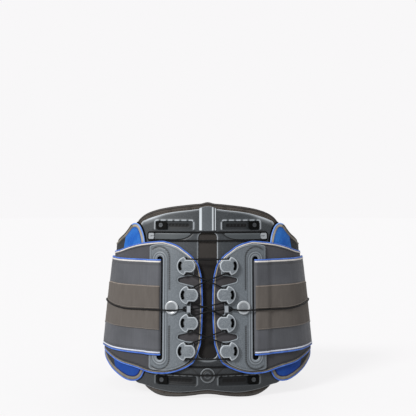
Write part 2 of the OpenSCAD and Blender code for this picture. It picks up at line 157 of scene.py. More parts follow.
def on_disc(x, z, base):
    """Mapping of a flat disc's own (u, v, height) that stands on the back surface."""
    t = float(turn_at(x, base, z))
    a = math.radians(t)
    middle = spot(t, base, z)
    across = np.array([math.cos(a), math.sin(a), 0.0])
    out = outward(t)
    up = np.cross(out, across)

    def place(u, v, h):
        u, v, h = np.broadcast_arrays(u, v, h)
        return middle + MM * (u[..., None] * across + v[..., None] * up + h[..., None] * out)
    return place


# ---------- Outlines as signed distances, negative inside ----------
def smooth(points, n=6, closed=False):
    """Smooth curve through a few points."""
    p = np.array(points, float)
    c = len(p)
    out = []
    for i in range(c if closed else c - 1):
        a, b, d, e = ((p[(i + k) % c] if closed else p[min(max(i + k, 0), c - 1)]) for k in (-1, 0, 1, 2))
        for u in np.arange(n) / n:
            out.append(b + u * (d - a) / 2 + u * u * (2 * a - 5 * b + 4 * d - e) / 2
                       + u ** 3 * (3 * b - a - 3 * d + e) / 2)
    return np.array(out if closed else out + [p[-1]])


def near_line(points, closed=False):
    """Distance from a line through points."""
    p = np.array(points, float)
    ends = list(zip(p, np.roll(p, -1, 0))) if closed else list(zip(p[:-1], p[1:]))

    def field(u, v):
        best = np.full(np.shape(u), 1e9)
        for a, b in ends:
            d = b - a
            k = np.clip(((u - a[0]) * d[0] + (v - a[1]) * d[1]) / max(d @ d, 1e-12), 0, 1)
            best = np.minimum(best, np.hypot(u - a[0] - k * d[0], v - a[1] - k * d[1]))
        return best
    return field


def shape(points):
    """Signed distance from a closed outline."""
    p = np.array(points, float)
    line = near_line(p, True)

    def field(u, v):
        inside = np.zeros(np.shape(u), bool)
        for a, b in zip(p, np.roll(p, -1, 0)):
            if a[1] != b[1]:
                x = a[0] + (v - a[1]) * (b[0] - a[0]) / (b[1] - a[1])
                inside ^= ((a[1] > v) != (b[1] > v)) & (u < x)
        d = line(u, v)
        return np.where(inside, -d, d)
    return field


def round_box(x0, z0, x1, z1, r):
    def field(u, v):
        du = np.abs(u - (x0 + x1) / 2) - (x1 - x0) / 2 + r
        dv = np.abs(v - (z0 + z1) / 2) - (z1 - z0) / 2 + r
        return np.hypot(np.maximum(du, 0), np.maximum(dv, 0)) + np.minimum(np.maximum(du, dv), 0) - r
    return field


def disc(x, z, r):
    return lambda u, v: np.hypot(u - x, v - z) - r


def capsule(a, b, r):
    line = near_line([a, b])
    return lambda u, v: line(u, v) - r


def union(*fields):
    return lambda u, v: np.minimum.reduce([f(u, v) for f in fields])


def cut(field, *others):
    return lambda u, v: np.maximum.reduce([field(u, v)] + [-f(u, v) for f in others])


def hump(d, width):
    """1 on a line and 0 a few widths away from it."""
    return np.exp(-(d / width) ** 2)


def step_up(d, width=0.8):
    """0 outside and 1 inside of a signed distance, over width."""
    return np.clip(0.5 - d / width, 0, 1)


# ---------- Mesh builders ----------
def fill(field, box, step):
    """Faces where field is below 0, with the rim's edges and vertices."""
    us = np.arange(box[0] - step, box[2] + 2 * step, step)
    vs = np.arange(box[1] - step, box[3] + 2 * step, step)
    u, v = np.meshgrid(us, vs, indexing="ij")
    f = field(u, v)
    inside = f < 0
    ids = np.cumsum(inside).reshape(inside.shape) - 1
    points = list(np.stack([u[inside], v[inside]], -1))
    cells = np.stack([inside[:-1, :-1], inside[1:, :-1], inside[1:, 1:], inside[:-1, 1:]])
    full = cells.all(0)
    i, j = np.nonzero(full)
    faces = np.stack([ids[i, j], ids[i + 1, j], ids[i + 1, j + 1], ids[i, j + 1]], -1).tolist()
    crossings, rim = {}, []

    def crossing(a, b):
        key = (min(a, b), max(a, b))
        if key not in crossings:
            a, b = key
            k = float(np.clip(f[a] / (f[a] - f[b]), 0.04, 0.96))
            crossings[key] = len(points)
            points.append(np.array([u[a] + k * (u[b] - u[a]), v[a] + k * (v[b] - v[a])]))
        return crossings[key]

    for i, j in zip(*np.nonzero(cells.any(0) & ~full)):
        corners = [(i, j), (i + 1, j), (i + 1, j + 1), (i, j + 1)]
        face, marks = [], []
        for k in range(4):
            a, b = corners[k], corners[(k + 1) % 4]
            if inside[a]:
                face.append(int(ids[a]))
            if inside[a] != inside[b]:
                face.append(crossing(a, b))
                marks.append((face[-1], bool(inside[a])))
        faces.append(face)
        for k, (vertex, leaving) in enumerate(marks):
            if leaving:
                rim.append((vertex, marks[(k + 1) % len(marks)][0]))
    return np.array(points), faces, rim


def level(height):
    """An even top for slab, with no painted highlight or shade."""
    return lambda u, v: (height + 0 * u, 0, 0)


def slab(field, box, step, place, top, edge=0.6, paint=None):
    """Closed plate with a round upper edge. top(u, v) gives its height, and how much painted highlight
    and painted shade its surface gets. paint(u, v) gives the material of each upper face."""
    points, faces, rim = fill(lambda u, v: field(u, v) + edge, box, step)
    d = 0.05
    high, light, dark = (np.broadcast_to(x, (len(points),)).astype(float) for x in top(*points.T))
    border = sorted({x for pair in rim for x in pair})
    slot = {x: k for k, x in enumerate(border)}
    q = points[border]
    n = np.stack([field(q[:, 0] + d, q[:, 1]) - field(q[:, 0] - d, q[:, 1]),
                  field(q[:, 0], q[:, 1] + d) - field(q[:, 0], q[:, 1] - d)], -1)
    n /= np.maximum(np.linalg.norm(n, axis=1, keepdims=True), 1e-9)
    flat, height = [points], [high]
    lights, darks = [light], [dark]
    rings = []
    total = len(points)
    for a in (30, 60, 90, None):
        turn = math.radians(90 if a is None else a)
        flat.append(q + n * edge * math.sin(turn))
        height.append(np.zeros(len(q)) if a is None else high[border] - edge * (1 - math.cos(turn)))
        # the rounded edge gets a full painted highlight, the bottom of the wall none
        lights.append(np.full(len(q), 0.0 if a is None else 1.0))
        darks.append(dark[border])
        rings.append(total)
        total += len(q)
    under = total
    flat.append(points)
    height.append(np.zeros(len(points)))
    lights.append(np.zeros(len(points)))
    darks.append(dark)
    flat, height = np.concatenate(flat), np.concatenate(height)
    index = [0] * len(faces)
    if paint is not None:
        middles = np.array([points[face].mean(0) for face in faces])
        index = paint(middles[:, 0], middles[:, 1]).astype(int).tolist()
    out = list(faces)
    for a, b in rim:
        ka, kb = slot[a], slot[b]
        out.append([b, a, rings[0] + ka, rings[0] + kb])
        for r0, r1 in zip(rings[:-1], rings[1:]):
            out.append([r0 + kb, r0 + ka, r1 + ka, r1 + kb])
        out.append([rings[-1] + kb, rings[-1] + ka, under + a, under + b])
    out += [[under + x for x in reversed(face)] for face in faces]
    index += [0] * (len(out) - len(index))
    return {"co": place(flat[:, 0], flat[:, 1], height), "faces": out, "uv": flat, "index": index,
            "light": np.concatenate(lights), "dark": np.concatenate(darks)}


def sweep(path, out, half_w, half_h, sides=10, closed=False):
    """Rod with an oval section along path; out is the surface's outward direction at each point."""
    path, out = np.asarray(path), np.asarray(out)
    n = len(path)
    ahead = (np.roll(path, -1, 0) - np.roll(path, 1, 0)) if closed else np.gradient(path, axis=0)
    ahead /= np.maximum(np.linalg.norm(ahead, axis=1, keepdims=True), 1e-12)
    across = np.cross(ahead, out)
    across /= np.maximum(np.linalg.norm(across, axis=1, keepdims=True), 1e-12)
    up = np.cross(across, ahead)
    a = np.arange(sides) * 2 * math.pi / sides
    ring = (across[:, None] * (half_w * MM * np.cos(a))[None, :, None]
            + up[:, None] * (half_h * MM * np.sin(a))[None, :, None])
    co = (path[:, None] + ring).reshape(-1, 3)
    along = np.concatenate([[0], np.cumsum(np.linalg.norm(np.diff(path, axis=0), axis=1))]) / MM
    uv = np.stack(np.broadcast_arrays(along[:, None], (a * (half_w + half_h) / 2)[None]), -1).reshape(-1, 2)
    faces = []
    for i in range(n if closed else n - 1):
        for k in range(sides):
            p, q = sides * i + k, sides * i + (k + 1) % sides
            r, s = sides * ((i + 1) % n) + (k + 1) % sides, sides * ((i + 1) % n) + k
            faces.append([p, q, r, s])
    if not closed:
        faces += [list(range(sides - 1, -1, -1)), [sides * (n - 1) + k for k in range(sides)]]
    zero = np.zeros(len(co))
    return {"co": co, "faces": faces, "uv": uv, "index": [0] * len(faces), "light": zero, "dark": zero}


def joined(parts):
    """One mesh's arrays from several."""
    out = {key: np.concatenate([p[key] for p in parts]) for key in ("co", "uv", "light", "dark")}
    out["faces"], out["index"], start = [], [], 0
    for p in parts:
        out["faces"] += [[x + start for x in face] for face in p["faces"]]
        out["index"] += p["index"]
        start += len(p["co"])
    return out


def mirrored(data):
    """The left-hand copy of right-hand arrays."""
    out = dict(data)
    out["co"] = data["co"] * np.array([-1, 1, 1])
    out["faces"] = [list(reversed(face)) for face in data["faces"]]
    return out


def build(name, data, materials, crease=42):
    """Makes the mesh object, with its flat layout as a UV layer and its painted highlight and shade as
    attributes.
    """
    mesh = bpy.data.meshes.new(name)
    mesh.from_pydata(data["co"].tolist(), [], data["faces"])
    corners = np.zeros(len(mesh.loops), int)
    mesh.loops.foreach_get("vertex_index", corners)
    mesh.uv_layers.new(name="flat").data.foreach_set("uv", data["uv"][corners].ravel())
    for key in ("light", "dark"):
        mesh.attributes.new(key, "FLOAT", "POINT").data.foreach_set("value", data[key].astype(np.float32))
    for m in materials if isinstance(materials, (list, tuple)) else [materials]:
        mesh.materials.append(m)
    mesh.polygons.foreach_set("material_index", data["index"])
    mesh.polygons.foreach_set("use_smooth", [True] * len(mesh.polygons))
    mesh.update()
    mesh.set_sharp_from_angle(angle=math.radians(crease))
    obj = bpy.data.objects.new(name, mesh)
    bpy.context.scene.collection.objects.link(obj)
    return obj


def add(name, data, materials, body, slot, stands_for=(), crease=42):
    """A piece that rides on a body and may stand for CAD nodes."""
    obj = build(name, data, materials, crease)
    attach(obj, body)
    if stands_for:
        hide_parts(*stands_for)
    return obj


def two_sides(data):
    """Each side's name with its arrays."""
    return ("right", data), ("left", mirrored(data))


def both_sides(name, data, materials, body, slot, node=None, crease=42):
    """The same piece on the right and, mirrored, on the left. body and node take a side's name."""
    made = {}
    for side, arrays in two_sides(data):
        made[side] = add(f"{side}_{name}", arrays, materials, body.format(side=side), slot,
                         (node.format(side=side),) if node else (), crease)
    return made


def lengths(p):
    """Length along a flat path up to each of its points."""
    return np.concatenate([[0], np.cumsum(np.hypot(*np.diff(p, axis=0).T))])


def surface_path(points, w, step=2.5):
    """Evenly spaced path of (length round, z) points at offset w, with its outward directions."""
    p = np.array(points, float)
    length = lengths(p)
    at = np.linspace(0, length[-1], max(2, int(length[-1] / step)))
    u, v = (np.interp(at, length, p[:, k]) for k in (0, 1))
    t = turn_of(u)
    return spot(t, w(t) if callable(w) else w, v), outward(t)


def trim(points, w, half_w, half_h, step=2.5):
    """Piping or binding that runs along the surface."""
    path, out = surface_path(points, w, step)
    return sweep(path, out, half_w, half_h)


def inset(points, by):
    """An open outline moved to its left by a distance."""
    p = np.array(points, float)
    d = np.gradient(p, axis=0)
    d /= np.maximum(np.linalg.norm(d, axis=1, keepdims=True), 1e-9)
    return p + by * np.stack([-d[:, 1], d[:, 0]], -1)


def stitches(points, w, length=3.0, gap=1.6, r=0.35):
    """A row of stitches along the surface, each one a short bowed thread."""
    p = np.array(points, float)
    total = lengths(p)
    parts = []
    for start in np.arange(0, total[-1] - length, length + gap):
        at = start + length * np.linspace(0, 1, 5)
        u, v = (np.interp(at, total, p[:, k]) for k in (0, 1))
        t = turn_of(u)
        base = w(t) if callable(w) else w
        bow = np.array([-0.25, 0.15, 0.25, 0.15, -0.25])
        parts.append(sweep(spot(t, base + bow, v), outward(t), r, r, 6))
    return joined(parts)


def cord_of(points):
    """Round cord through a few 3-D points near the torso, with an even step."""
    p = smooth(points, 12)
    length = np.concatenate([[0], np.cumsum(np.linalg.norm(np.diff(p, axis=0), axis=1))])
    at = np.linspace(0, length[-1], max(3, int(length[-1] / (CORD_STEP * MM))))
    path = np.stack([np.interp(at, length, p[:, k]) for k in range(3)], -1)
    out = path * np.array([1, 1, 0])
    return sweep(path, out / np.linalg.norm(out, axis=1, keepdims=True), CORD_R, CORD_R)


def lie(p):
    """Point of a cord given as (x, z, offset) on the back half."""
    return spot(turn_at(p[0], p[2], p[1]), p[2], p[1])


# ---------- Materials ----------
STUDIO_LEVEL = 1.75


def srgb(r, g, b):
    """Linear colour of an 8-bit sRGB one."""
    def linear(c):
        c /= 255
        return c / 12.92 if c <= 0.04045 else ((c + 0.055) / 1.055) ** 2.4
    return (linear(r), linear(g), linear(b), 1.0)


def shade(colour, by):
    """The same colour, brighter or darker."""
    return tuple(c * by for c in colour[:3]) + (1,)


def tone(red, green, blue):
    """Albedo that looks like this sRGB colour in the studio's light."""
    return tuple(c / STUDIO_LEVEL for c in srgb(red, green, blue)[:3]) + (1,)


class Shader:
    """A Principled material, and short calls for the nodes that feed it."""

    def __init__(self, name, **values):
        self.material = bpy.data.materials.new(name)
        self.material.use_nodes = True
        self.tree = self.material.node_tree
        self.bsdf = self.tree.nodes["Principled BSDF"]
        for key, value in values.items():
            self.bsdf.inputs[key.replace("_", " ")].default_value = value
        self.bumped = None

    def node(self, kind, inputs=(), **settings):
        n = self.tree.nodes.new(kind)
        for key, value in settings.items():
            setattr(n, key, value)
        for key, value in dict(inputs).items():
            if isinstance(value, bpy.types.NodeSocket):
                self.tree.links.new(value, n.inputs[key])
            else:
                n.inputs[key].default_value = value
        return n

    def math(self, operation, a, b=0.0):
        return self.node("ShaderNodeMath", {0: a, 1: b}, operation=operation).outputs[0]

    def scaled(self, source, x, y, z=1.0):
        return self.node("ShaderNodeMapping", {"Vector": source, "Scale": (x, y, z)}).outputs[0]

    def flat(self):
        """The piece's own layout, in millimetres along and across."""
        return self.node("ShaderNodeUVMap", uv_map="flat").outputs[0]

    def solid(self):
        """Place in the piece, in millimetres."""
        return self.scaled(self.node("ShaderNodeTexCoord").outputs["Object"], 1000, 1000, 1000)

    def noise(self, source, scale, detail=3.0, rough=0.55):
        n = self.node("ShaderNodeTexNoise", {"Vector": source, "Scale": scale, "Detail": detail,
                                             "Roughness": rough})
        return n.outputs[0]

    def waves(self, source, period_u, period_v):
        """Two crossed waves from 0 to 1, with their periods in millimetres."""
        axes = self.node("ShaderNodeSeparateXYZ", {0: source})
        u, v = (self.math("SINE", self.math("MULTIPLY", axes.outputs[k], 2 * math.pi / p))
                for k, p in ((0, period_u), (1, period_v)))
        return self.math("MULTIPLY_ADD", self.math("MULTIPLY", u, v), 0.5)

    def wave(self, source, axis, period):
        axes = self.node("ShaderNodeSeparateXYZ", {0: source})
        u = self.math("SINE", self.math("MULTIPLY", axes.outputs[axis], 2 * math.pi / period))
        return self.node("ShaderNodeMath", {0: u, 1: 0.5, 2: 0.5}, operation="MULTIPLY_ADD").outputs[0]

    def attribute(self, name):
        return self.node("ShaderNodeAttribute", attribute_name=name).outputs["Fac"]

    def fit(self, value, low, high, to_low=0.0, to_high=1.0):
        ends = {"Value": value, 1: low, 2: high, 3: to_low, 4: to_high}
        return self.node("ShaderNodeMapRange", ends).outputs[0]

    def mix(self, amount, a, b):
        n = self.node("ShaderNodeMix", {0: amount}, data_type="RGBA")
        for k, value in ((6, a), (7, b)):
            if isinstance(value, bpy.types.NodeSocket):
                self.tree.links.new(value, n.inputs[k])
            else:
                n.inputs[k].default_value = value
        return n.outputs[2]

    def colour(self, socket):
        self.tree.links.new(socket, self.bsdf.inputs["Base Color"])

    def rough(self, value, low, high):
        self.tree.links.new(self.fit(value, 0, 1, low, high), self.bsdf.inputs["Roughness"])

    def bump(self, height, strength=0.4, depth=0.3):
        """Adds a relief, with its depth in millimetres."""
        inputs = {"Height": height, "Strength": strength, "Distance": depth * MM}
        if self.bumped:
            inputs["Normal"] = self.bumped
        self.bumped = self.node("ShaderNodeBump", inputs).outputs[0]
        self.tree.links.new(self.bumped, self.bsdf.inputs["Normal"])


def plastic(name, base, light, dark, speckle=0.0, gloss=0.42, grain=0.12, shine=0.3):
    """Moulded plastic: fine grain, painted highlights on edges, painted shade in grooves, and a speckle where
    it has one.
    """
    s = Shader(name, Specular_IOR_Level=shine)
    solid = s.solid()
    cloud = s.noise(solid, 0.035, 4.0)
    fine = s.noise(solid, 1.3, 2.0)
    body = s.mix(s.fit(cloud, 0.3, 0.7), shade(base, 0.93),
                 shade(base, 1.07))
    if speckle:
        spots = s.fit(s.noise(solid, 0.9, 4.0, 0.7), 0.46, 0.62)
        body = s.mix(s.math("MULTIPLY", spots, speckle), body, light)
    # painted highlight where the piece's light attribute is set, painted shade where its dark one is
    edge = s.math("MULTIPLY", s.attribute("light"), s.fit(fine, 0.2, 0.7, 0.6, 1.0))
    body = s.mix(edge, body, light)
    body = s.mix(s.attribute("dark"), body, dark)
    s.colour(body)
    s.rough(fine, gloss - 0.05, gloss + 0.13)
    s.bump(fine, 0.35, grain)
    return s.material


def cloth(name, base, light, period=(1.1, 0.9), sheen=0.25, weave=0.35, fuzz=0.3, wash=0.25, tint=None):
    """Woven or knitted fabric: crossed threads, a little fuzz and a cloudy wash."""
    s = Shader(name, Sheen_Weight=sheen, Sheen_Roughness=0.5, Specular_IOR_Level=0.25)
    s.bsdf.inputs["Sheen Tint"].default_value = tint or light
    flat, solid = s.flat(), s.solid()
    threads = s.waves(flat, *period)
    hair = s.noise(solid, 1.1, 4.0, 0.65)
    cloud = s.noise(solid, 0.03, 4.0)
    body = s.mix(s.fit(cloud, 0.3, 0.7, 0.5 - wash, 0.5 + wash), base, light)
    body = s.mix(s.math("MULTIPLY", s.fit(threads, 0.0, 1.0, 1.0, 0.0), weave),
                 body, shade(base, 0.4))
    body = s.mix(s.math("MULTIPLY", s.fit(hair, 0.55, 0.75), fuzz), body, light)
    # painted shade where the piece's dark attribute is set
    body = s.mix(s.attribute("dark"), body, shade(base, 0.3))
    s.colour(body)
    s.rough(hair, 0.72, 0.95)
    s.bump(threads, 0.6, 0.25)
    s.bump(hair, 0.4, 0.2)
    return s.material


def elastic(name, base, light):
    """Ribbed elastic webbing: fine ribs across its length, with painted shade where its dark attribute is
    set.
    """
    s = Shader(name, Sheen_Weight=0.3, Sheen_Roughness=0.4, Specular_IOR_Level=0.35)
    s.bsdf.inputs["Sheen Tint"].default_value = light
    flat, solid = s.flat(), s.solid()
    ribs = s.wave(flat, 0, 1.5)
    picks = s.wave(flat, 1, 0.8)
    streak = s.noise(s.scaled(flat, 0.45, 0.02), 1.0, 3.0)
    cloud = s.noise(solid, 0.02, 3.0)
    body = s.mix(s.fit(cloud, 0.3, 0.7), base, light)
    body = s.mix(s.fit(streak, 0.35, 0.7, 0.0, 0.2), body, shade(base, 0.6))
    body = s.mix(s.math("MULTIPLY", s.fit(ribs, 0.0, 0.4, 1.0, 0.0), 0.3), body,
                 shade(base, 0.45))
    # painted shade where the piece's dark attribute is set
    body = s.mix(s.attribute("dark"), body, tone(30, 30, 33))
    s.colour(body)
    s.rough(streak, 0.5, 0.72)
    s.bump(ribs, 0.7, 0.25)
    s.bump(picks, 0.3, 0.1)
    return s.material


def pile(name, base, light, dark):
    """Velour: short brushed pile with mottled upright streaks."""
    s = Shader(name, Sheen_Weight=0.45, Sheen_Roughness=0.35, Specular_IOR_Level=0.15)
    s.bsdf.inputs["Sheen Tint"].default_value = light
    flat, solid = s.flat(), s.solid()
    streak = s.noise(s.scaled(flat, 0.22, 0.035), 1.0, 5.0, 0.6)
    nap = s.noise(solid, 1.6, 5.0, 0.75)
    body = s.mix(s.fit(streak, 0.33, 0.67, 0.25, 0.75), dark, light)
    body = s.mix(s.fit(nap, 0.35, 0.65, 0.1, 0.85), body, base)
    body = s.mix(s.math("MULTIPLY", s.fit(nap, 0.62, 0.75), 0.5), body, light)
    # painted shade where the piece's dark attribute is set
    body = s.mix(s.attribute("dark"), body, shade(dark, 0.5))
    s.colour(body)
    s.rough(nap, 0.85, 1.0)
    s.bump(nap, 0.8, 0.35)
    s.bump(streak, 0.12, 0.3)
    return s.material


def open_mesh(name, base, light, hole, period=2.2):
    """Spacer mesh: rows of round holes between knitted ribs."""
    s = Shader(name, Sheen_Weight=0.12, Sheen_Roughness=0.4, Specular_IOR_Level=0.15)
    s.bsdf.inputs["Sheen Tint"].default_value = light
    flat, solid = s.flat(), s.solid()
    cells = s.waves(flat, period, period * 1.3)
    cloud = s.noise(solid, 0.04, 3.0)
    hair = s.noise(solid, 1.4, 3.0)
    body = s.mix(s.fit(cloud, 0.3, 0.7), base, light)
    body = s.mix(s.math("MULTIPLY", s.fit(cells, 0.25, 0.75, 1.0, 0.0), 0.5), body, hole)
    # painted shade, towards the hole colour, where the piece's dark attribute is set
    body = s.mix(s.math("MULTIPLY", s.attribute("dark"), 0.95), body, hole)
    s.colour(body)
    s.rough(hair, 0.6, 0.85)
    s.bump(cells, 0.8, 0.4)
    s.bump(hair, 0.3, 0.15)
    return s.material


def braid(name, base, light):
    """Round cord of two crossed sets of strands."""
    s = Shader(name, Specular_IOR_Level=0.15)
    axes = s.node("ShaderNodeSeparateXYZ", {0: s.flat()})
    along, around = axes.outputs[0], axes.outputs[1]
    turns = 2 * math.pi / 1.05
    a, b = (s.math("SINE", s.math("MULTIPLY", s.math(kind, along, around), turns))
            for kind in ("ADD", "SUBTRACT"))
    cross = s.fit(s.math("MULTIPLY", a, b), -1, 1)
    fuzz = s.noise(s.solid(), 1.8, 3.0)
    s.colour(s.mix(s.fit(cross, 0.3, 1.0, 0.0, 0.6), base, light))
    s.rough(fuzz, 0.5, 0.75)
    s.bump(cross, 0.7, 0.2)
    return s.material


def binding(name, base, light, period=1.2):
    """Woven tape round a cord: diagonal ribs along its length."""
    s = Shader(name, Sheen_Weight=0.3, Sheen_Roughness=0.4, Specular_IOR_Level=0.35)
    s.bsdf.inputs["Sheen Tint"].default_value = light
    axes = s.node("ShaderNodeSeparateXYZ", {0: s.flat()})
    slant = s.math("SINE", s.math("MULTIPLY", s.math("ADD", axes.outputs[0], axes.outputs[1]),
                                  2 * math.pi / period))
    ribs = s.fit(slant, -1, 1)
    cloud = s.noise(s.solid(), 0.12, 3.0)
    body = s.mix(s.fit(cloud, 0.3, 0.7), base, light)
    s.colour(s.mix(s.fit(ribs, 0.0, 0.5, 0.35, 0.0), body, shade(base, 0.5)))
    s.rough(cloud, 0.55, 0.75)
    s.bump(ribs, 0.5, 0.2)
    return s.material


def metal(name, base, rough):
    """Satin metal with fine scratches."""
    s = Shader(name, Metallic=1.0)
    solid = s.solid()
    scratch = s.noise(s.scaled(solid, 6.0, 0.6, 0.6), 1.0, 4.0)
    cloud = s.noise(solid, 0.3, 3.0)
    s.colour(s.mix(s.fit(cloud, 0.3, 0.7), base, shade(base, 0.8)))
    s.rough(scratch, rough, rough + 0.22)
    s.bump(scratch, 0.15, 0.05)
    return s.material


def rubber(name, base, light):
    """Matt rubber with a fine leathery grain."""
    s = Shader(name, Specular_IOR_Level=0.35)
    solid = s.solid()
    grain = s.node("ShaderNodeTexVoronoi", {"Vector": solid, "Scale": 1.1}).outputs["Distance"]
    cloud = s.noise(solid, 0.08, 4.0)
    body = s.mix(s.fit(cloud, 0.3, 0.7), base, light)
    # painted highlight where the light attribute is set, painted shade where the dark one is
    body = s.mix(s.math("MULTIPLY", s.attribute("light"), 0.4), body, shade(light, 2.2))
    s.colour(s.mix(s.attribute("dark"), body, tone(12, 12, 13)))
    s.rough(cloud, 0.5, 0.7)
    s.bump(grain, 0.35, 0.15)
    return s.material


LINING = cloth("lining_knit", tone(72, 66, 61), tone(92, 85, 79), (1.6, 1.2), 0.3, 0.3, 0.4)
# darker copy of the window knit: painted shade between the wings
WINDOW_KNIT_SHADED = cloth("window_knit_painted_shade", tone(18, 15, 14), tone(28, 24, 22), (1.8, 1.4), 0.0, 0.4, 0.2)
WINDOW_KNIT = cloth("window_knit", tone(46, 42, 39), tone(58, 54, 50), (1.8, 1.4), 0.05, 0.35, 0.3)
PAD_EDGE = binding("pad_binding", tone(47, 43, 40), tone(63, 58, 54), 1.4)
PAD_THREAD = binding("pad_thread", tone(66, 60, 56), tone(88, 81, 75), 0.7)
FRAME = plastic("frame_plastic", tone(44, 49, 53), tone(206, 213, 219), tone(14, 15, 16), 0.06, 0.42)
RIB = plastic("rib_plastic", tone(78, 84, 89), tone(168, 175, 181), tone(24, 26, 28), 0.1, 0.36)
# near-white strips on the rib's sides: painted highlights
RIB_HIGHLIGHT = plastic("rib_highlight_plastic", tone(206, 213, 218), tone(236, 240, 243), tone(90, 95, 99), 0.05, 0.3)
RECESS = plastic("recess_plastic", tone(46, 50, 53), tone(104, 110, 115), tone(8, 8, 9), 0.2, 0.5, 0.12, 0.15)
TONGUE = plastic("tongue_plastic", tone(64, 70, 73), tone(110, 116, 120), tone(12, 13, 14), 0.1, 0.38)
HOOK = plastic("hook_plastic", tone(160, 165, 169), tone(235, 238, 240), tone(50, 52, 54), 0.0, 0.28, 0.05)
PLATE = plastic("plate_plastic", tone(92, 99, 105), tone(160, 168, 175), tone(12, 13, 14), 0.3, 0.42, 0.2)
GUIDE = plastic("guide_plastic", tone(100, 107, 113), tone(190, 197, 203), tone(20, 21, 23), 0.3, 0.38, 0.2)
# black for painted shadow: in the slots, the kidney windows, the gap by the ear and under the guides
SHADOW_BLACK = plastic("painted_shadow_black", tone(6, 6, 7), tone(14, 14, 15), tone(3, 3, 3), 0.0, 0.7, 0.12, 0.05)
SLIDER = plastic("slider_plastic", tone(3, 3, 3), tone(9, 9, 9), tone(2, 2, 2), 0.0, 0.6, 0.08, 0.06)
BRIDGE = plastic("bridge_plastic", tone(150, 156, 162), tone(208, 211, 214), tone(80, 84, 88), 0.0, 0.25,
                 0.05)
EYELET = metal("eyelet_metal", tone(44, 46, 49), 0.3)
SCREW = metal("screw_metal", tone(96, 99, 102), 0.22)
PANEL = cloth("panel_fabric", tone(36, 37, 40), tone(52, 54, 58), (1.4, 1.4), 0.2, 0.35, 0.3)
WING = cloth("wing_fabric", tone(66, 66, 70), tone(88, 88, 93), (1.5, 1.2), 0.3, 0.35, 0.35)
MESH_BLUE = open_mesh("mesh_blue", tone(28, 104, 196), tone(66, 144, 226), tone(2, 36, 122))
STRAP = elastic("strap_elastic", tone(70, 72, 77), tone(88, 90, 96))
VELOUR = pile("velour", tone(96, 91, 86), tone(110, 104, 99), tone(84, 78, 74))
SELVEDGE = binding("selvedge", tone(128, 118, 109), tone(152, 140, 130), 0.9)
DIM_SELVEDGE = binding("dim_selvedge", tone(100, 94, 88), tone(116, 108, 101), 0.9)
FLEECE = pile("loop_fleece", tone(62, 58, 55), tone(84, 79, 75), tone(48, 45, 43))
TAPE = plastic("hook_tape", tone(34, 35, 38), tone(70, 72, 76), tone(12, 12, 13), 0.5, 0.55, 0.4)
CORD = braid("cord_black", tone(4, 4, 5), tone(15, 15, 16))
BLUE = binding("piping_blue", tone(48, 92, 192), tone(92, 138, 226))
LIGHT_BLUE = binding("piping_light_blue", tone(88, 138, 228), tone(140, 178, 240))
LIGHT = binding("piping_light", tone(214, 210, 204), tone(238, 235, 230))
COOL_LIGHT = binding("piping_cool_light", tone(200, 205, 220), tone(224, 228, 240))
BEIGE = binding("ear_binding", tone(150, 141, 124), tone(184, 174, 154), 1.6)
TAUPE = binding("lower_ear_binding", tone(104, 98, 88), tone(134, 127, 114), 1.6)
THREAD = binding("stitch_thread", tone(150, 152, 156), tone(190, 192, 196), 0.7)
RUBBER = rubber("handle_rubber", tone(36, 38, 41), tone(52, 55, 59))
WING_MESH = open_mesh("wing_window_mesh", tone(62, 60, 62), tone(80, 78, 81), tone(32, 31, 33), 1.8)
STUD = plastic("stud_satin", tone(112, 118, 123), tone(214, 219, 223), tone(56, 60, 63), 0.1, 0.24, 0.05, 0.6)
WING_LIGHT = binding("wing_piping_light", tone(212, 206, 197), tone(234, 229, 222))


# ---------- Camera, light and floor ----------
CAMERA_AT = (0.0006, -1.22, 0.2835)
LENS = 63.2
SENSOR = 36
LAMPS = (("key", 4.4, 16, (56, 0, -42)), ("back_light", 0.9, 40, (50, 0, 165)))
FLOOR_Z = -0.004
FLOOR_R = 20
FLOOR_SIDES = 48


def studio():
    camera = bpy.data.objects.new("camera", bpy.data.cameras.new("camera"))
    camera.location = CAMERA_AT
    camera.rotation_euler = (math.radians(90), 0, 0)
    camera.data.sensor_width = SENSOR
    camera.data.lens = LENS
    camera.data.clip_start = 0.05
    bpy.context.scene.collection.objects.link(camera)
    bpy.context.scene.camera = camera
    for name, power, size, turn in LAMPS:
        lamp = bpy.data.objects.new(name, bpy.data.lights.new(name, "SUN"))
        lamp.data.energy = power
        lamp.data.angle = math.radians(size)
        lamp.rotation_euler = [math.radians(a) for a in turn]
        bpy.context.scene.collection.objects.link(lamp)
    world = bpy.data.worlds.new("studio")
    bpy.context.scene.world = world
    world.use_nodes = True
    world.node_tree.nodes["Background"].inputs["Color"].default_value = srgb(248, 247, 248)
    bpy.context.scene.view_settings.view_transform = "Standard"


def floor():
    mesh = bpy.data.meshes.new("floor")
    angles = np.linspace(0, 2 * math.pi, FLOOR_SIDES + 1)[:-1]
    rim = [(FLOOR_R * math.cos(a), FLOOR_R * math.sin(a), FLOOR_Z) for a in angles]
    mesh.from_pydata(rim, [], [list(range(FLOOR_SIDES))])
    obj = bpy.data.objects.new("floor", mesh)
    bpy.context.scene.collection.objects.link(obj)
    s = Shader("floor_light_table", Specular_IOR_Level=0.0, Emission_Strength=0.8)
    s.bsdf.inputs["Emission Color"].default_value = (1, 0.992, 1, 1)
    grain = s.noise(s.solid(), 0.02, 3.0)
    s.colour(s.mix(grain, (0.078, 0.078, 0.078, 1), (0.082, 0.082, 0.082, 1)))
    s.rough(grain, 0.95, 1.0)
    s.material.cycles.emission_sampling = "NONE"
    mesh.materials.append(s.material)


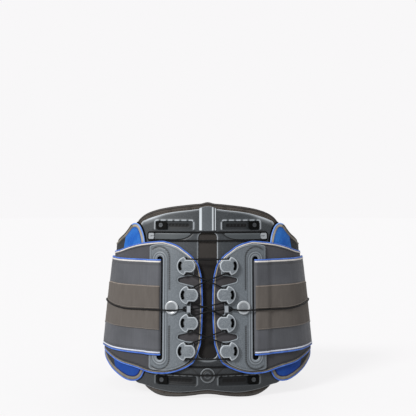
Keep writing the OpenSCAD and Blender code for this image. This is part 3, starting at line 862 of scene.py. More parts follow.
# ---------- Lining, frame and belt body ----------
PAD_TOP = [(0, 291.8), (4, 291.2), (10, 289.5), (20.8, 288.7), (31.8, 287.6), (42.8, 286.4), (53.5, 285.1),
           (64.4, 283.4), (75.4, 281.3), (86.4, 278.2), (91.8, 276.2), (97.5, 273.6), (104, 269.2),
           (108.4, 265),
           (112.2, 259), (115.5, 249), (119.5, 236), (124, 215)]
PAD_BOTTOM = [(0, 3.8), (12, 3.0), (20, 1.8), (30.4, 0.4), (40.8, -0.7), (51.3, -1.4), (61.8, -1.6),
              (70.1, -1),
              (78.5, 0.9), (86.9, 4.8), (95.3, 10.8), (106, 24), (113, 38), (119, 56), (125, 80)]
FRAME_HALF = [(0, 282.8), (14, 281.8), (27, 280), (48, 277.8), (66, 274.8), (80, 271), (90, 267.8),
              (97, 264.8),
              (104, 260), (107.5, 240), (104, 140), (109, 45), (113.5, 23), (109, 15.6), (98, 13.4),
              (87, 10.8),
              (75, 8.2), (49, 5.6), (24, 7.6), (0, 10.2)]
UPPER_RECESS = (22.4, 249.5, 81.3, 263.4)
LOWER_RECESS = (16.5, 16.2, 78.8, 29.6)
TONGUE_LINE = [(82, 244.6), (24, 244.6), (30, 239.8), (38, 236.6), (50, 235.2), (82, 235.2)]


def whole(half):
    """A closed outline from its right half, which runs from the top middle to the bottom middle."""
    return list(half) + [(-x, z) for x, z in reversed(half[1:-1])]


def pad_outline():
    right = by_turn(PAD_TOP, PAD_OUT) + [(float(reach(36)), 150)] + by_turn(PAD_BOTTOM[::-1], PAD_OUT)
    return smooth(whole(right), 5, closed=True)


def puff(obj, pinned, grow_cap, pressure=4.0):
    """Swells a closed mesh by cloth simulation. grow_cap is how far each vertex may move, in metres."""
    mesh = obj.data
    rest = np.zeros(len(mesh.vertices) * 3)
    mesh.vertices.foreach_get("co", rest)
    rest = rest.reshape(-1, 3)
    group = obj.vertex_groups.new(name="sewn")
    group.add([int(i) for i in np.nonzero(pinned)[0]], 1.0, "REPLACE")
    cloth_modifier = obj.modifiers.new("puff", "CLOTH")
    settings = cloth_modifier.settings
    settings.quality = 6
    settings.mass = 0.15
    settings.tension_stiffness = 12
    settings.compression_stiffness = 12
    settings.bending_stiffness = 0.4
    settings.use_pressure = True
    settings.uniform_pressure_force = pressure
    settings.vertex_group_mass = "sewn"
    settings.effector_weights.gravity = 0
    for number in range(1, 21):
        bpy.context.scene.frame_set(number)
    moved = np.zeros(len(rest) * 3)
    shown = obj.evaluated_get(bpy.context.evaluated_depsgraph_get())
    shown.data.vertices.foreach_get("co", moved)
    move = moved.reshape(-1, 3) - rest
    length = np.maximum(np.linalg.norm(move, axis=1), 1e-9)
    move *= (np.minimum(length, grow_cap) / length)[:, None]
    obj.modifiers.remove(cloth_modifier)
    bpy.context.scene.frame_set(1)
    mesh.vertices.foreach_set("co", (rest + move).ravel())
    mesh.update()


def subdivide(obj, levels=1):
    modifier = obj.modifiers.new("subdivide", "SUBSURF")
    modifier.levels = modifier.render_levels = levels
    mesh = bpy.data.meshes.new_from_object(obj.evaluated_get(bpy.context.evaluated_depsgraph_get()))
    obj.modifiers.remove(modifier)
    obj.data = mesh


def back_pad():
    outline = pad_outline()
    field = shape(outline)
    channels = [30.0, 66.0, 102.0]

    # Painted shade along the sewn channels.
    def top(u, v):
        sewn = sum(hump(np.abs(u) - c, 2.4) for c in channels)
        return 6.0 - 0.5 * sewn, 0, 0.5 * sewn

    data = slab(field, (-150, 0, 150, 292), 5.0, on_wrap(0.5), top, edge=2.2)
    pad = build("back_pad_lining", data, LINING, 60)
    u, v = data["uv"].T
    rim = field(u, v) > -6.0
    sewn = (np.abs(np.abs(u)[:, None] - np.array(channels)) < 2.6).any(1) & ~rim
    inner = np.zeros(len(u), bool)
    inner[len(u) // 2:] = True
    puff(pad, sewn | (rim & inner), np.where(inner, 3.0, 0.35) * MM)
    subdivide(pad)
    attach(pad, "belt")
    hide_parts("back_pad")
    closed = np.concatenate([outline, outline[:1]])
    ring = inset(closed, -1.6)
    path, out = surface_path(ring, 4.0, 3.0)
    data = sweep(path[:-1], out[:-1], 2.5, 3.3, 14, closed=True)
    add("back_pad_binding", data, PAD_EDGE, "belt", "lining")
    line = inset(closed, -5.2)
    add("back_pad_stitching", stitches(line, 7.0, 3.2, 1.8, 0.3), PAD_THREAD, "belt", "lining")


def window_lining():
    field = round_box(-16.5, 54, 16.5, 248, 8)

    def top(u, v):
        ribs = 0.12 * np.sin(v * 2.1) * step_up(v - 207, 3)
        return 1.1 + 0.35 * np.cos(u * math.pi / 34) + ribs, 0, 0.25 * hump(v - 207, 1.2)

    # below 207 mm the knit takes its darker copy as painted shade between the wings; top() adds a painted
    # shade line where the two meet
    data = slab(field, (-17, 54, 17, 248), 1.5, on_back(PAD_OUT - 0.1), top, 0.4,
                lambda u, v: v < 207)
    add("window_lining", data, [WINDOW_KNIT, WINDOW_KNIT_SHADED], "belt", "lining")


def recess_marks(u, v, box):
    """Depth, painted highlight and painted shade of a slider's recess: a lip with ticks, a floor and its
    track.
    """
    x0, z0, x1, z1 = box
    inside = round_box(x0, z0, x1, z1, 2.5)(u, v)
    track = round_box(x0 + 6, (z0 + z1) / 2 - 2.6, x1 - 21, (z0 + z1) / 2 + 2.6, 2.4)(u, v)
    floor_line = step_up(inside, 0.9)
    ticks = hump(np.mod(u - x0 - 9, 5.5) - 2.75, 0.6) * step_up(track + 0.8, 0.6)
    lip = hump(inside - 0.7, 1.3)
    # the lip's painted highlight is broken into dashes along its top and weak along its bottom
    dashes = np.where(v > z1 - 1.2,
                      0.15 + 0.95 * step_up(-0.55 - np.sin((u - 1.6) * 2 * math.pi / 10.8), 0.3), 0.8)
    side = np.where(v < z0 + 1.2, 0.15, 1.0)
    depth = -2.0 * floor_line - 0.5 * step_up(track, 0.8) + 0.4 * ticks + 0.45 * lip
    return depth, lip * dashes * side, 0.75 * step_up(track, 0.8) * (1 - ticks) + 0.35 * floor_line


def back_frame():
    field = cut(shape(smooth(whole(FRAME_HALF), 5, closed=True)), round_box(-14.5, 56.4, 14.5, 245.5, 7))
    tongue_field = shape(TONGUE_LINE)
    crescent = near_line(smooth([(-13.5, 54.6), (-7, 52.6), (0, 52.0), (7, 52.6), (13.5, 54.6)]))
    ledge = near_line([(-24, 43.6), (24, 43.6)])
    brace = near_line([(26, 43.8), (14, 33)])
    shelf = near_line(smooth([(86, 248.2), (28, 248.2), (18.5, 246.5)]))

    # Painted shade in the tongue and shelf grooves, the step lines, the recess floors and tracks, and over
    # the lower frame; painted highlight on the recess lips, the crescent ridge under the window, the outer
    # edge, the top edge and its outer corners.
    def top(u, v):
        a = np.abs(u)
        h, light, dark = recess_marks(a, v, UPPER_RECESS)
        low = recess_marks(a, v, LOWER_RECESS)
        h, light, dark = h + low[0], light + low[1] * 0.6, dark + low[2]
        groove = hump(tongue_field(a, v) - 1.2, 0.9) + 0.7 * hump(shelf(a, v), 0.7)
        lines = hump(ledge(u, v), 0.8) + 0.7 * hump(brace(a, v), 0.8)
        crescent_ridge_highlight = hump(crescent(u, v), 1.0)
        rim = hump(field(u, v) + 1.4, 1.0) * step_up(60 - v, 20)
        corner = 0.4 * step_up(-field(u, v) - 5, 6) * hump(np.abs(u) - 88, 14) * step_up(256 - v, 6)
        h = h - 0.6 * groove - 0.5 * lines + 0.5 * crescent_ridge_highlight
        top_edge = (0.12 + 0.38 * hump(np.abs(u) - 88, 20)) * rim * step_up(252 - v, 16) + corner
        foot_shade = 0.45 * step_up(v - 52, 30)
        return (3.0 + h, np.clip(light + 0.4 * crescent_ridge_highlight + 0.12 * rim + top_edge, 0, 1),
                np.clip(dark + groove + lines + foot_shade, 0, 1))

    def paint(u, v):
        a = np.abs(u)
        return np.minimum(round_box(*UPPER_RECESS, 2.5)(a, v), round_box(*LOWER_RECESS, 2.5)(a, v)) < -0.3

    data = slab(field, (-115, 6, 115, 285), 1.15, on_back(FRAME_IN), top, 0.9, paint)
    add("back_frame_shell", data, [FRAME, RECESS], "belt", "frame_plastic", ["back_frame"])


def centre_rib():
    field = lambda u, v: np.maximum.reduce([np.abs(u) - 13, 248.7 - v, v - 285.9 + 0.017 * u * u])

    # Painted highlight along the edges of the flat top; painted shade along them too and in the gutter, a
    # groove on the right side only.
    def top(u, v):
        a = np.abs(u)
        gutter = hump(a - 10.1, 0.6) * (u > 0)
        h = 1.9 - 0.35 * gutter - 0.5 * step_up(11.6 - a, 1.2) \
            + 0.25 * np.cos(u / 8.6 * math.pi / 2) * (a < 8.6)
        return h, 0.4 * hump(a - 8.6, 0.8), 0.8 * gutter + 0.35 * hump(a - 8.2, 0.8)

    # The near-white strips are painted highlights on the rib's sides: one wide on the left, two thin on the
    # right.
    def paint(u, v):
        return ((u < -8.9) & (u > -12.6)) | ((u > 7.0) & (u < 8.9)) | ((u > 11.2) & (u < 12.6))

    data = slab(field, (-13, 248, 13, 286), 0.45, on_back(FRAME_OUT + 0.05), top, 0.5, paint)
    add("centre_rib_cap", data, [RIB, RIB_HIGHLIGHT], "belt", "rib_plastic", ["centre_rib"])


def centre_boss():
    # Painted shade over the whole boss, deeper in its ring groove; painted highlights on its outer rim and
    # inner ring.
    def top(u, v):
        r = np.hypot(u, v)
        ring = hump(r - 7.8, 0.9)
        h = 2.0 - 0.5 * ring + 0.25 * hump(r - 4.2, 0.7) - 0.25 * hump(r, 1.6)
        return h, 0.3 * hump(r - 9.8, 0.7) + 0.2 * hump(r - 4.2, 0.6), np.clip(0.35 + 0.6 * ring, 0, 1)

    data = slab(disc(0, 0, 10.9), (-11, -11, 11, 11), 0.5, on_disc(0, 31.4, FRAME_OUT + 0.05), top, 0.5)
    add("centre_boss_cap", data, FRAME, "belt", "frame_plastic", ["centre_boss"])


def tongues():
    # Painted highlight along the plate's upper edge.
    def top(u, v):
        return 1.6 + 0 * u, 0.35 * hump(v - 243.4, 1.0), 0

    data = slab(shape(smooth(TONGUE_LINE[1:5], 5).tolist() + [(82, 235.2), (82, 244.6)]), (20, 235, 82, 245),
                0.6, on_back(FRAME_OUT + 0.1), top, 0.7)
    both_sides("tongue_plate", data, TONGUE, "belt", "frame_plastic", "{side}_tongue")


LOOPS = {"upper": (233.3, 246.2, FRAME_OUT + 1.4, FRAME_OUT + 1.4),
         "lower": (32.6, 43.9, FRAME_OUT + 1.4, FRAME_OUT + 3.6)}


def cord_loops():
    """A closed loop of cord round each pair of hooks."""
    for name, (lo, hi, w, mid_w) in LOOPS.items():
        half = [(x, lo, mid_w if x < 14 else w) for x in (13, 26, 39, 52, 65, 78, 90)]
        half += [(92.5, lo + 1.6, w), (93.1, lo + 4, w), (93.1, hi - 4, w), (92.5, hi - 1.6, w)]
        half += [(x, hi, w) for x in (90, 78, 65, 52, 39, 26, 13)]
        ring = [(0, lo, mid_w)] + half + [(0, hi, w)] + [(-x, z, o) for x, z, o in reversed(half)]
        p = np.array([lie(q) for q in ring])
        path = smooth(p, 8, closed=True)
        out = path * np.array([1, 1, 0])
        data = sweep(path, out / np.linalg.norm(out, axis=1, keepdims=True), CORD_R, CORD_R, 10, closed=True)
        add(f"{name}_loop_cord", data, CORD, "belt", "cord", [f"{name}_cord_loop"])


PANEL_TOP = by_turn([(97.5, 226), (98.6, 232), (99.7, 239), (102, 246.7), (105.5, 254.2), (109.4, 258.3),
                     (113.5, 259.7), (118, 258.9), (122, 256), (126.6, 249.6), (132.8, 242.5), (138.9, 237.4),
                     (144.7, 231.8)], PANEL_OUT) + by_angle([(75, 227), (90, 225), (110, 213), (SEAM, 195)])
PANEL_BOTTOM = by_turn([(97, 34), (98.3, 31), (102.1, 24.2), (108.5, 19.3), (115.2, 17.4), (123.9, 17.6),
                        (132.9, 20.4), (142, 24.7), (151, 29.9), (158.6, 35.8), (164, 40.5)],
                       PANEL_OUT) + by_angle([(90, 50), (110, 40), (SEAM, 22)])


def side_panels():
    top_line, bottom_line = smooth(PANEL_TOP, 5), smooth(PANEL_BOTTOM, 5)
    outline = np.concatenate([bottom_line, top_line[::-1]])
    field = shape(outline)

    # Painted shade in the seam's crease inside the edge.
    def top(u, v):
        seam = hump(field(u, v) + 9.5, 0.9)
        crumple = 0.18 * np.sin(u * 0.11 + 0.02 * v) * np.sin(v * 0.09)
        return 1.5 + crumple - 0.35 * seam, 0, 0.6 * seam

    box = (outline[:, 0].min(), 14, outline[:, 0].max(), 260)
    data = slab(field, box, 2.2, on_wrap(PANEL_IN), top, 0.7)
    panels = both_sides("panel_cloth", data, PANEL, "belt", "panel_fabric", "{side}_side_panel", 60)
    split = len(smooth(PANEL_TOP[:13], 5))
    ear, rest = top_line[:split], top_line[split - 1:]
    apex = int(np.argmax(ear[:, 1])) + 4
    rows = (("upper_ear_piping", ear[:apex + 3], -0.8, PANEL_OUT, 1.2, 1.2, LIGHT_BLUE, "piping_blue"),
            ("upper_ear_slope", ear[apex + 2:], -0.8, PANEL_OUT, 1.0, 1.1, PAD_EDGE, "piping_light"),
            # a black line inside the ear's inner edge: painted shadow in the gap between ear and frame
            ("upper_ear_shadow_line", ear[:len(ear) // 2], 1.1, PANEL_IN - 0.2, 1.3, 1.0, SHADOW_BLACK, "panel_fabric"),
            ("upper_ear_binding", ear[:apex + 1], -3.9, PANEL_OUT + 0.1, 2.1, 0.9, BEIGE, "piping_light"),
            ("upper_ear_slope_binding", ear[apex:], -3.9, PANEL_OUT + 0.1, 2.1, 0.9, TAUPE, "piping_light"),
            ("panel_top_binding", rest, -1.6, PANEL_OUT - 0.5, 2.0, 1.4, TAUPE, "piping_light"),
            ("lower_ear_piping", bottom_line, 0.8, PANEL_OUT, 1.0, 1.1, BLUE, "piping_blue"),
            ("lower_ear_binding", bottom_line, 4.0, PANEL_OUT + 0.1, 2.3, 0.9, TAUPE, "piping_light"))
    for name, line, by, w, half_w, half_h, material, slot in rows:
        both_sides(name, trim(inset(line, by), w, half_w, half_h), material, "belt", slot)
    ears(field)


def ears(field):
    """Blue spacer mesh set into the ears above and below the wing."""
    s_end = float(reach(turn_at(131.5, PANEL_OUT, 232)))
    upper = lambda u, v: np.maximum.reduce([field(u, v) + 6.2, 208 - v, u - s_end + (v - 232) * 0.15])
    u_end = float(reach(turn_at(146.0, PANEL_OUT, 38)))
    lower = lambda u, v: np.maximum.reduce([field(u, v) + 7.2, v - 66, u - u_end - (v - 38) * 0.5])

    def top(u, v):
        return 0.55 + 0.12 * np.sin(u * 0.5) * np.sin(v * 0.4), 0, 0.5 * hump(field(u, v) + 7.2, 0.9)

    # The lower mesh is darkened all over as painted shade under the strap; both meshes have painted shade
    # along their edges.
    def low_top(u, v):
        h, light, dark = top(u, v)
        return h, light, np.clip(dark + 0.8, 0, 1)

    parts = [slab(upper, (90, 205, 175, 262), 1.0, on_wrap(PANEL_OUT + 0.05), top, 0.25),
             slab(lower, (90, 12, 190, 68), 1.0, on_wrap(PANEL_OUT + 0.05), low_top, 0.25)]
    both_sides("ear_mesh", joined(parts), MESH_BLUE, "belt", "mesh_blue", "{side}_mesh_insert")


# ---------- Wings ----------
WING_TOP = by_turn([(7.6, 136), (7.6, 146), (8.7, 172.5), (10.8, 185), (15.2, 199), (25, 210.3),
                    (35.6, 218.6),
                    (46.5, 226), (63, 231.3), (74, 232.2), (102, 229), (121.8, 224), (142.8, 216.4)],
                   WING_OUT) + by_angle([(90, 211), (108, 206)])
WING_BOTTOM = by_turn([(7.6, 136), (7.6, 128), (9.6, 86.5), (12.9, 71), (20.2, 53.5), (26, 47.8), (35, 42.6),
                       (50.8, 36.5), (66.8, 33.4), (88.7, 33.5), (111.5, 39), (136.5, 43), (160, 50)],
                       WING_OUT) \
    + by_angle([(90, 54), (108, 58)])
BAY_CORE = [(41.9, 174.3), (31.8, 177.0), (11, 178.2), (11, 166.5), (21.2, 168.4), (29.5, 170.3),
            (41.6, 173.2)]
BAY_ROUND, BAY_SUM = 3.0, 262.9
PLATE_LINE = [(89.4, 224.0), (89.4, 41.6)] + smooth(
    [(89.0, 40.6), (86, 39.2), (80, 38.3), (71, 37.9), (60, 38.9), (48, 42.3), (34, 49), (25, 59), (20.8, 77),
     (20.5, 100), (20.3, 131), (20.5, 165), (21.0, 188), (24.5, 202), (30.2, 210.2), (40.5, 218.2),
     (50.8, 223.8), (61.2, 226.9), (71.6, 227.9), (82, 226.9), (88.6, 224.8)], 4).tolist()


def slide(obj, side, slot, *nodes):
    """A soft piece of a wing, with its placement baked into its mesh and the CAD nodes it stands for hidden.
    """
    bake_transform(obj)
    if nodes:
        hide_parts(*nodes)
    return obj


def soft_sides(name, data, material, slot, node=None, crease=60):
    made = {}
    for side, arrays in two_sides(data):
        obj = build(f"{side}_{name}", arrays, material, crease)
        made[side] = slide(obj, side, slot, *((node.format(side=side),) if node else ()))
    return made


def at_side(near, far):
    """A value along the torso that goes from near, on the back, to far, where the wing lies on the panel."""
    return lambda t: np.interp(t, [40, 62], [near, far])


def wings():
    outline = np.concatenate([smooth(WING_BOTTOM, 5)[:-1], [WING_BOTTOM[-1]], smooth(WING_TOP, 5)[::-1]])
    field = shape(outline)

    def top(u, v):
        d = field(u, v)
        seam = hump(d + 5.6, 0.8)
        puff_up = 0.25 * np.sin(u * 0.05) * np.sin(v * 0.035 + 1.0)
        thick = at_side(2.2, 1.0)(turn_of(u))
        shaded = np.clip(0.85 * seam + 0.35 * step_up(v - 75, 40), 0, 1)
        return thick + puff_up * (d < -7) - 0.3 * seam, 0, shaded

    data = slab(field, (0, 33, float(reach(108)), 233), 1.6, on_wrap(at_side(WING_IN, 12.75)), top, 0.9)
    made = soft_sides("wing_cloth", data, WING, "wing_fabric", "{side}_wing_fabric")
    for obj in made.values():
        float(reach(108)) * MM
    edge = np.concatenate([smooth(WING_TOP, 5)[::-1], smooth(WING_BOTTOM, 5)[1:]])
    soft_sides("wing_piping", trim(inset(edge, 0.6), at_side(WING_OUT - 0.8, 13.3), 1.1, 1.4, 2.0), BLUE,
               "piping_blue")
    inner = inset(edge, 2.7)
    over, under = int(np.argmax(inner[:, 1] < 198)), int(np.argmax(inner[:, 1] < 66))
    # One light piping runs round the inside: cream on top, beige at the back and taupe at the bottom, as
    # painted light and shade on the same piping.
    for name, run, half_w, material in (("top", inner[:over + 1], 1.1, WING_LIGHT),
                                        ("back", inner[over:under + 1], 0.8, BEIGE),
                                        ("bottom", inner[under:], 0.9, TAUPE)):
        soft_sides(f"wing_inner_piping_{name}", trim(run, at_side(WING_OUT - 0.2, 13.9), half_w, 0.8, 2.0),
                   material,
                   "piping_light")
    both_sides("wing_window_mesh", wing_mesh(), WING_MESH, "{side}_wing", "wing_fabric")


def wing_mesh():
    """Dark spacer mesh that shows through the plate's bays."""
    def top(u, v):
        return 0.35 + 0 * u, 0, 0
    return slab(round_box(13.5, 78, 50, 185, 3), (13, 77, 51, 186), 2.0, on_back(WING_OUT - 0.25), top, 0.15)


def plate_field():
    core = shape(BAY_CORE)
    upper = lambda u, v: core(u, v) - BAY_ROUND
    lower = lambda u, v: upper(u, BAY_SUM - v)
    notch = round_box(5, 122.2, 25.4, 140.6, 1.5)
    slot = round_box(68.4, SLOT_LO, 77.4, SLOT_HI, 4.49)
    return cut(shape(PLATE_LINE), upper, lower, notch, slot)


def plates():
    field = plate_field()
    slot_line = near_line([(73.2, SLOT_LO + 4.5), (73.2, SLOT_HI - 4)])
    arc = [(74.1 + 16 * math.cos(math.radians(a)), 207.6 + 16 * math.sin(math.radians(a)))
           for a in range(48, 181, 12)]
    groove_line = arc + [(58.1, 206), (58.1, 159)]
    upper = near_line(groove_line)
    lower = near_line([(x, 2 * MID_Z - 3.5 - z) for x, z in groove_line])

    # Painted highlights on the two ridges round the slot; painted shade in the dotted grooves, the hollow
    # between the ridges, along the lip and in a ring outside them.
    def top(u, v):
        d = slot_line(u, v)
        rings = 0.75 * hump(d - 6.6, 1.0) + 0.6 * hump(d - 9.8, 0.9)
        hollow = hump(d - 8.2, 0.7)
        dots = 0.75 + 0.25 * np.sin(v * 2 * math.pi / 3.2)
        groove = np.maximum(hump(upper(u, v), 1.25), hump(lower(u, v), 1.25)) * dots
        lip = hump(field(u, v) + 2.6, 0.7)
        rise = 0.35 * np.sin(np.clip((u - 20) / 70, 0, 1) * math.pi)
        h = 2.55 + rise + rings - 0.7 * groove - 0.25 * lip
        light = np.clip(0.9 * hump(d - 6.6, 0.8) + 0.6 * hump(d - 9.8, 0.7), 0, 1)
        dark = np.clip(1.1 * groove + 0.45 * hollow + 0.25 * lip + 0.4 * hump(d - 11.8, 0.8), 0, 1)
        return h, light, dark

    data = slab(field, (14, 37, 90, 228), 0.75, on_back(WING_OUT + 0.4), top, 0.9)
    both_sides("wing_plate_shell", data, PLATE, "{side}_wing", "plate_plastic", "{side}_plate")
    # A black sheet under the slot: painted shadow inside it.
    painted_slot_shadow = slab(round_box(67.4, SLOT_LO - 1, 78.4, SLOT_HI + 1, 5.4), (66, 52, 79, 212), 1.0,
                 on_back(WING_OUT + 0.02), level(0.34), 0.15)
    both_sides("slot_painted_shadow", painted_slot_shadow, SHADOW_BLACK, "{side}_wing", "plate_plastic")


def guide_field():
    ring = lambda u, v: np.maximum(disc(0, 0, GUIDE_R)(u, v), -(u - 0.3))
    lobe = lambda u, v: np.maximum(disc(-3.5, 0, 10.7)(u, v), np.abs(v) - 9.4)
    hooks = [capsule((-1.4, 10.6 * m), (0.9, 12.9 * m), 1.25) for m in (1, -1)]
    return cut(union(ring, lobe), *hooks)


def guides():
    field = guide_field()

    def kidney(u, v):
        a = np.degrees(np.arctan2(v, u))
        r = np.hypot(u, v)
        end = np.hypot(u - 9.8 * math.cos(math.radians(27)), np.abs(v) - 9.8 * math.sin(math.radians(27)))
        return np.where(np.abs(a) < 27, np.abs(r - 9.8), end) - 2.05

    # Painted highlight on the rim and painted shade round the kidney window.
    def top(u, v):
        hole = step_up(kidney(u, v), 0.5)
        rim = hump(field(u, v) + 1.1, 0.6)
        r = np.hypot(u + 2.5, v)
        return (GUIDE_H - 0.3 + 0.25 * np.cos(np.clip(r / 9, 0, 1) * math.pi) - 4.5 * hole,
                np.clip(0.7 * rim, 0, 1) * (1 - hole), 0.35 * hump(kidney(u, v) - 0.6, 0.5))

    for number, place in enumerate(GUIDES, 1):
        # the kidney window's floor takes the black material: painted shadow in it
        data = slab(field, (-15, -15, 15, 15), 0.4, on_disc(*place, PLATE_OUT + 0.05), top, 1.1,
                    lambda u, v: kidney(u, v) < 0)
        both_sides(f"cord_guide_{number}", data, [GUIDE, SHADOW_BLACK], "{side}_wing", "guide_plastic",
                   "{side}_guide_" + str(number))
    # Black discs under the guides: painted shadow that they cast on the wing.
    shadow_parts = []
    for place in GUIDES:
        shadow_parts.append(slab(disc(0, 0, GUIDE_R - 2.5), (-13, -13, 13, 13), 1.0,
                                 on_disc(*place, WING_OUT + 0.45), level(2.7), 0.3))
    both_sides("guide_shadow_discs", joined(shadow_parts), SHADOW_BLACK, "{side}_wing", "guide_plastic")


def studs():
    # Painted highlight on the rim; painted shade in the groove inside it.
    def top(u, v):
        r = np.hypot(u, v)
        rim = hump(r - 8.6, 1.9)
        dome = 0.5 * np.cos(np.clip(r / 7.5, 0, 1) * math.pi / 2)
        return 2.6 + 0.9 * rim + dome, 0.6 * rim, 0.25 * hump(r - 6.6, 0.7)

    data = slab(disc(0, 0, 10.3), (-11, -11, 11, 11), 0.45, on_disc(*STUD_SPOT, PLATE_OUT + 0.05), top, 0.7)
    both_sides("stud_button", data, STUD, "{side}_wing", "stud_metal", "{side}_stud")


# ---------- Straps, velour and cords ----------
def strap_w(t):
    t = np.asarray(t, float)
    x = (ARC_R + PLATE_OUT) * np.sin(np.radians(np.minimum(t, 30)))
    near = np.interp(x, [71.2, 74.2, 91, 98],
                     [WING_OUT + 0.2, PLATE_OUT + 0.1, PLATE_OUT + 0.1, WING_OUT + 0.2])
    far = np.interp(t, [50, 62, 104, 118], [WING_OUT + 0.2, WING_OUT - 0.8, WING_OUT - 0.8, WING_IN + 0.2])
    return np.where(t > 30, far, near)


def upright(base):
    """Mapping like on_wrap whose columns stand upright on the back."""
    def place(u, v, h):
        t = turn_of(u)
        w = base(t) + h
        keep = np.interp(t, [26, 42], [1, 0])
        x = spot(t, w, MID_Z)[..., 0] / MM
        return spot(keep * turn_at(x, w, v) + (1 - keep) * t, w, v)
    return place


def along(near, far, bend=75):
    """Heights by the length round: level up to the angle bend, then sloping to the strap's end."""
    return lambda u: glide(turn_of(u), [bend, STRAP_END], [near, far])


def ribbon(name, low, high, start, end, base, thick, material, slot, node, step, relief):
    """A band between two heights, from one place round the torso to another."""
    field = lambda u, v: np.maximum.reduce([low(u) - v, v - high(u), start - u, u - end])
    box = (start, 40, end, 206)
    data = slab(field, box, step, upright(base), lambda u, v: relief(u, v, thick), min(0.8, thick / 2), None)
    return soft_sides(name, data, material, slot, node)


def edge_trim(name, height, start, end, w, half_w, half_h, material, slot):
    u = np.arange(start, end, 2.0)
    v = height(u)
    data_path = upright(w)(u, v, np.zeros(len(u)))
    data = sweep(data_path, outward(turn_of(u)), half_w, half_h, 10)
    return soft_sides(name, data, material, slot)


S0 = float(reach(turn_at(71.2, PLATE_OUT, MID_Z)))
S_END = float(reach(STRAP_END))
STRAP_BEND = 95


def straps():
    low, high = along(61, 42), along(204.5, 168, STRAP_BEND)

    # Painted shade in the shallow groove 7.4 mm inside each edge.
    def relief(u, v, thick):
        across = (v - low(u)) / np.maximum(high(u) - low(u), 1)
        crown = 0.35 * np.sin(np.clip(across, 0, 1) * math.pi)
        ripple = 0.12 * np.sin(v * 0.21 + 1.3 * np.sin(u * 0.03)) * np.exp(-(u - S0) / 60)
        side = hump(v - low(u) - 7.4, 0.8) + hump(high(u) - v - 7.4, 0.8)
        return thick - 0.35 + crown + ripple - 0.2 * side, 0, 0.5 * side

    made = ribbon("elastic_strap", low, high, S0, S_END, strap_w, STRAP_T, STRAP, "strap_elastic",
                  "{side}_strap", 1.8, relief)
    over = lambda t: strap_w(t) + STRAP_T + np.interp(t, [50, 62], [0.1, -0.5])
    for name, line, sign in (("upper", high, -1), ("lower", low, 1)):
        edge_trim(f"strap_{name}_blue", lambda u: line(u) + sign * 0.9, S0 + 1, S_END,
                  lambda t: over(t) - 1.0,
                  1.25, 1.4, BLUE, "piping_blue")
        gap, half_w, material = (3.3, 1.25, LIGHT) if name == "upper" else (4.1, 1.15, COOL_LIGHT)
        edge_trim(f"strap_{name}_light", lambda u: line(u) + sign * gap, S0 + 1, S_END, over, half_w, 0.7,
                  material,
                  "piping_light")
    velour(over)
    strap_anchor()


def glide(t, at, values):
    """Interpolation whose corners are rounded by averaging over a few degrees."""
    return sum(np.interp(np.asarray(t, float) + d, at, values) for d in (-6, -4, -2, 0, 2, 4, 6)) / 7


def pull_height(t):
    return glide(t, [22, 32, 43, 50, 62, 78, 90, SEAM],
                 [129, 127.3, 128, 129.2, 130.8, 133.2, 133.6, HANDLE_Z])


def velour(over):
    low, high = along(99, 78), along(165, 140)
    cord_line = lambda u: pull_height(turn_of(u))

    # Painted shade in the fold above the cord.
    def relief(u, v, thick):
        fold = hump(v - cord_line(u) - 1.4, 0.9)
        wave = 0.1 * np.sin(u * 0.35) * np.sin(v * 0.13)
        step = 0.25 * step_up(cord_line(u) + 1.4 - v, 1.0)
        return thick - 0.35 + wave + step - 0.35 * fold, 0, 0.8 * fold

    start = float(reach(turn_at(72.8, PLATE_OUT, MID_Z)))
    end = float(reach(STRAP_END - 1.5))
    made = ribbon("velour_band", low, high, start, end, over, VELOUR_T, VELOUR, "velour", "{side}_velour",
                  1.8,
                  relief)
    top_w = lambda t: over(t) + VELOUR_T - 0.2
    for name, line, material in (("top", lambda u: high(u) - 1.0, SELVEDGE),
                                 ("middle", lambda u: cord_line(u) + 2.6, DIM_SELVEDGE),
                                 ("bottom", lambda u: low(u) + 0.8, DIM_SELVEDGE)):
        edge_trim(f"velour_{name}_selvedge", line, start, end, top_w, 0.75, 0.45, material, "velour")


def strap_anchor():
    """Box stitch that holds the strap's front end to the belt."""
    parts = []
    for t in (STRAP_END - 2.0, STRAP_END - 6.0):
        u = float(reach(t))
        line = [(u, float(np.interp(t, [75, STRAP_END], [61, 42])) + 4),
                (u, float(np.interp(t, [75, STRAP_END], [205, 168])) - 4)]
        parts.append(stitches(line, lambda a: strap_w(a) + STRAP_T + 0.1, 3.4, 1.6, 0.4))
    both_sides("strap_anchor_stitching", joined(parts), THREAD, "belt", "strap_elastic")


OVER, UNDER = CORD_W + 1.5, CORD_W - 1.5
TOP_LACE, BOTTOM_LACE = (205.0, CORD_W), (58.0, CORD_W)
UPPER_CROSS = [(174.0, OVER), (174.0, UNDER)]
LOWER_CROSS = [(90.0, OVER), (90.0, UNDER)]
LEFT_FEED, RIGHT_FEED, MIDDLE_CROSS = (136.0, OVER), (128.0, OVER), (132.0, UNDER)
FREE_X, NOTCH_X = 17.0, 24.6


def strand(side, place, above, below):
    """One strand of the lacing: in at a guide's upper mouth, round it and out at the lower one."""
    def run(m, line):
        x, z = place[0] - 4.5, place[1] + 11.0 * m
        middle = [(x * k, line[0] + (z - line[0]) * k, line[1]) for k in (0, 0.35, 0.7)]
        hook = [(x, z, CORD_W + 0.3), (place[0] - 1.0, place[1] + 10.7 * m, CORD_W + 0.4),
                (place[0] + 1.0, place[1] + 12.9 * m, CORD_W)]
        return middle + hook
    turn = [(place[0] + 9 * math.sin(math.radians(a)), place[1] + 9 * math.cos(math.radians(a)), CORD_W - 1)
            for a in (40, 90, 140)]
    points = run(1, above) + turn + run(-1, below)[::-1]
    return cord_of([lie((side * x, z, w)) for x, z, w in points])


